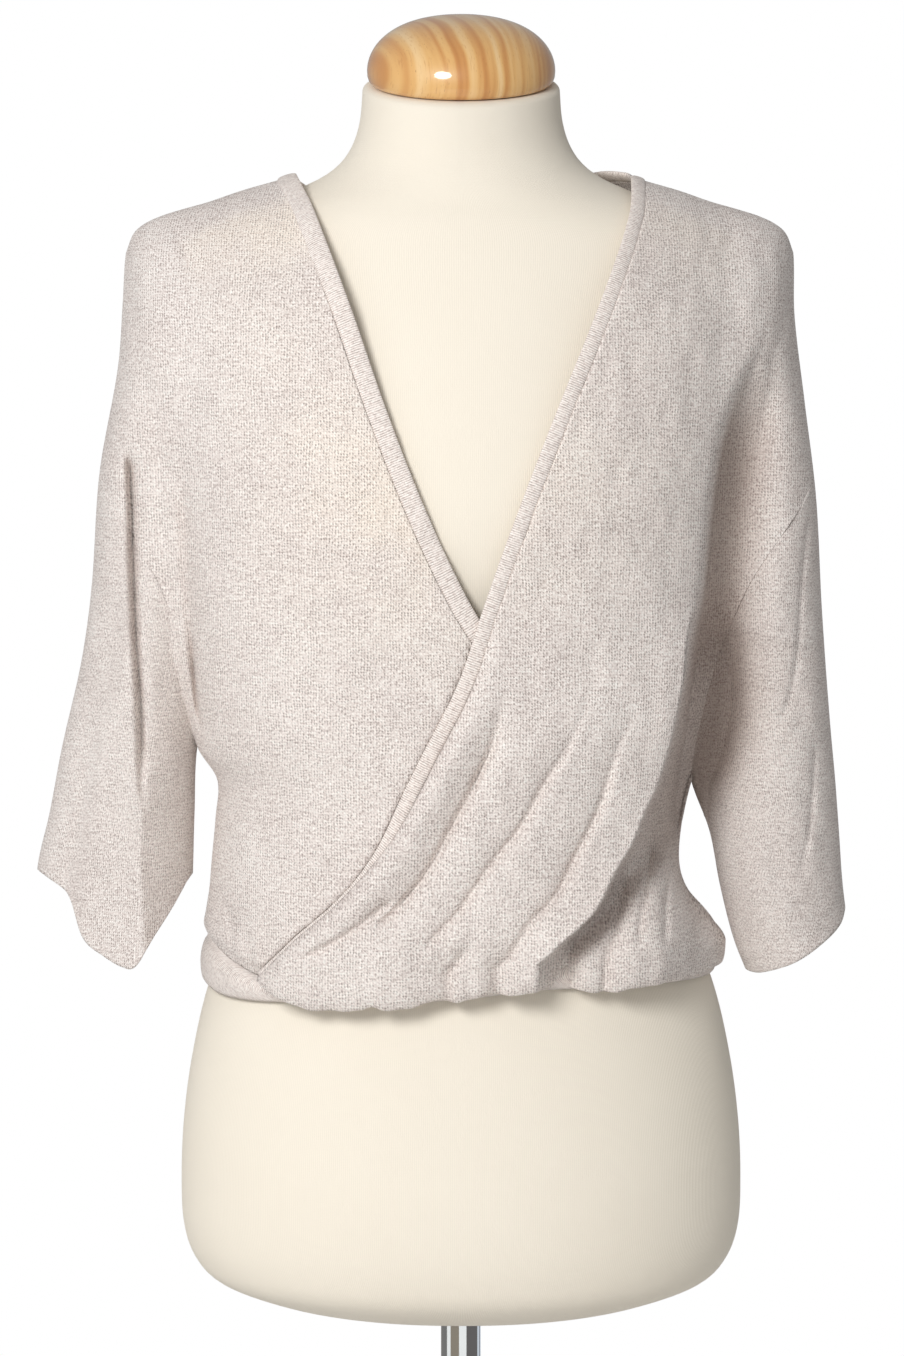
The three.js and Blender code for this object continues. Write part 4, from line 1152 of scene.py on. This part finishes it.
def make_hem_band():
    """The folded band on the hips, with a lip that runs up behind the body's edge."""
    sides, rows = 260, 14
    turn = full_turn(sides)
    c, s = np.cos(turn), np.sin(turn)
    x = by_side(c, HEM_BAND_SIZE["left"], HEM_BAND_SIZE["right"]) * squared(c, 2 / HEM_BAND_POWER)
    y = by_side(s, HEM_BAND_SIZE["front"], HEM_BAND_SIZE["back"]) * squared(s, 2 / HEM_BAND_POWER)
    top = HEM_TOP - SEAM_GAP + hem_rise["body"](x)
    low = HEM_LOW + hem_rise["band"](x)
    t = np.linspace(0, 1, rows)[:, None]
    z = mix(low, top, t)
    swell = 3.4 * np.sin(t * math.pi) ** 0.6 - mix(1.4, 3, t) + 0.3 * undulation(x, z, 22, 61)
    # how far up and out the lip's rows lie from the seam
    lip = np.array([[1.5, -0.4], [3.5, -0.9], [6, -1.2]])
    z = np.concatenate([z, z[-1:] + lip[:, :1]])
    swell = np.concatenate([swell, swell[-1:] + lip[:, 1:]])
    out_x, out_y = way_out(x, y, BAND_OVAL).T
    points = np.stack([x + out_x * swell, y + out_y * swell, z], axis=2)
    return surface("knit_hem_band", points, lengths(points, 0), lengths(points, 1), BAND, tube="v",
                   thickness=HEM_BAND_CLOTH, outward=(0, 0, 412))


dress_form, cap, pole, base = make_form(), make_cap(), make_pole(), make_base()
over, over_points = make_over()
under, under_points = make_under()
back, back_points = make_back()
sleeve_left, sleeve_right = make_sleeve("left"), make_sleeve("right")
hem_band = make_hem_band()

INNER = 6               # the column of a front that its neck band's inner side follows
over_points = over_points[2:]
over_z = over_points[:, 0, 2]
neck_over = band_along("over", over_points[:, 0], over_points[:, INNER], aside=-band_tuck(over_z),
                       lift=-0.6 * smooth(610, 530, over_z))
neck_under = band_along("under", under_points[:, 0], under_points[:, INNER],
                        lift=-1.8 * smooth(860, 800, under_points[:, 0, 2]))
inside = np.abs(back_points[-1, :, 0]) < NECK_POINT[0] - 4
neck_back = band_along("back", back_points[-1][inside], back_points[-4][inside])

for piece, node, name in [
    (dress_form, "torso", "form_jersey"), (cap, "neck_cap", "cap_wood"),
    (pole, "pole", "pole_chrome"), (base, "base", "base_steel"),
    (over, "front_over", "knit"), (under, "front_under", "knit"), (back, "back", "knit"),
    (sleeve_left, "sleeve_left", "knit"), (sleeve_right, "sleeve_right", "knit"),
    (neck_over, "neck_band_over", "knit_band"), (neck_under, "neck_band_under", "knit_band"),
    (neck_back, "neck_band_back", "knit_band"), (hem_band, "hem_band", "knit_band"),
]:
    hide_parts(node)

# -------- camera, light and floor


def aim(obj, place, target):
    obj.location = place
    obj.rotation_euler = (Vector(target) - Vector(place)).to_track_quat("-Z", "Y").to_euler()


def staged(name, points, faces, material):
    """A plain mesh that isn't part of the object."""
    mesh = bpy.data.meshes.new(name)
    mesh.from_pydata(points, [], faces)
    mesh.materials.append(material)
    obj = add_object(name, mesh)
    return obj


HALF_VIEW = math.radians(8.97)
camera_data = bpy.data.cameras.new("camera")
camera_data.lens = camera_data.sensor_width / 2 / math.tan(HALF_VIEW)
camera = add_object("camera", camera_data)
aim(camera, Vector((-4, -2600, 750)) * MM, Vector((-5.5, 0, 589)) * MM)

key = bpy.data.lights.new("key", "AREA")
key.shape = "DISK"
key.size = 0.8
key.energy = 35.5
aim(add_object("key", key), (-0.82, -2.05, 1.38), (0, 0, 0.6))

# white to the camera, a softer light from all round to the object, weaker from the right
AMBIENT = 0.40
sky = Nodes(shader="Background")
across = sky.split(sky.place("Generated"))[0]
ambient = sky.step(across, -1.0, 1.0, AMBIENT * 1.1, AMBIENT * 0.85, "LINEAR")
seen = sky.add("LightPath").outputs["Is Camera Ray"]
sky.shade(Color=(1, 1, 1, 1), Strength=sky.step(seen, 0.0, 1.0, ambient, 1.0, "LINEAR"))

scene = bpy.context.scene
scene.camera = camera
scene.world = sky.owner
scene.view_settings.view_transform = "Standard"

# upright strips round the pole that only its mirror finish sees, as things in a studio would show:
# the angles from the front where each starts and ends, and its colour
STRIPS = [
    (-180, -87, 118, 116, 113), (-87, -62, 236, 236, 232), (-62, -11, 140, 131, 117),
    (-11, 31, 238, 238, 234), (31, 108, 100, 97, 95), (108, 130, 196, 202, 208),
    (130, 142, 110, 114, 120), (142, 180, 205, 208, 212),
]
STRIP_RADIUS, STRIP_LEVELS, STRIP_POINTS, STRIP_STRENGTH = 0.5, (-0.1, 0.26), 12, 1.45
for k, (start, end, *colour) in enumerate(STRIPS):
    turns = np.radians(np.linspace(start, end, STRIP_POINTS))
    points = [(STRIP_RADIUS * math.sin(turn), -STRIP_RADIUS * math.cos(turn), z)
              for z in STRIP_LEVELS for turn in turns]
    faces = [[i, i + 1, i + 1 + STRIP_POINTS, i + STRIP_POINTS] for i in range(STRIP_POINTS - 1)]
    glow = Nodes(f"strip_{k}", "Emission").shade(Color=rgb(*colour), Strength=STRIP_STRENGTH)
    strip = staged(f"strip_{k}", points, faces, glow)
    strip.visible_camera = False
    strip.visible_diffuse = False
    strip.visible_shadow = False
    strip.visible_transmission = False

FLOOR_RADIUS, FLOOR_FORWARD, FLOOR_SIDES = 1.15, 0.45, 128
ring = [(FLOOR_RADIUS * math.cos(turn), FLOOR_RADIUS * math.sin(turn) - FLOOR_FORWARD, 0)
        for turn in full_turn(FLOOR_SIDES)]
paint = Nodes("floor")
cloud = paint.noise(paint.place("Object"), 5)
pale = paint.blend(rgb(244, 243, 241), rgb(240, 239, 237), cloud)
staged("floor", ring, [list(range(FLOOR_SIDES))], paint.shade(Base_Color=pale, Roughness=0.8))
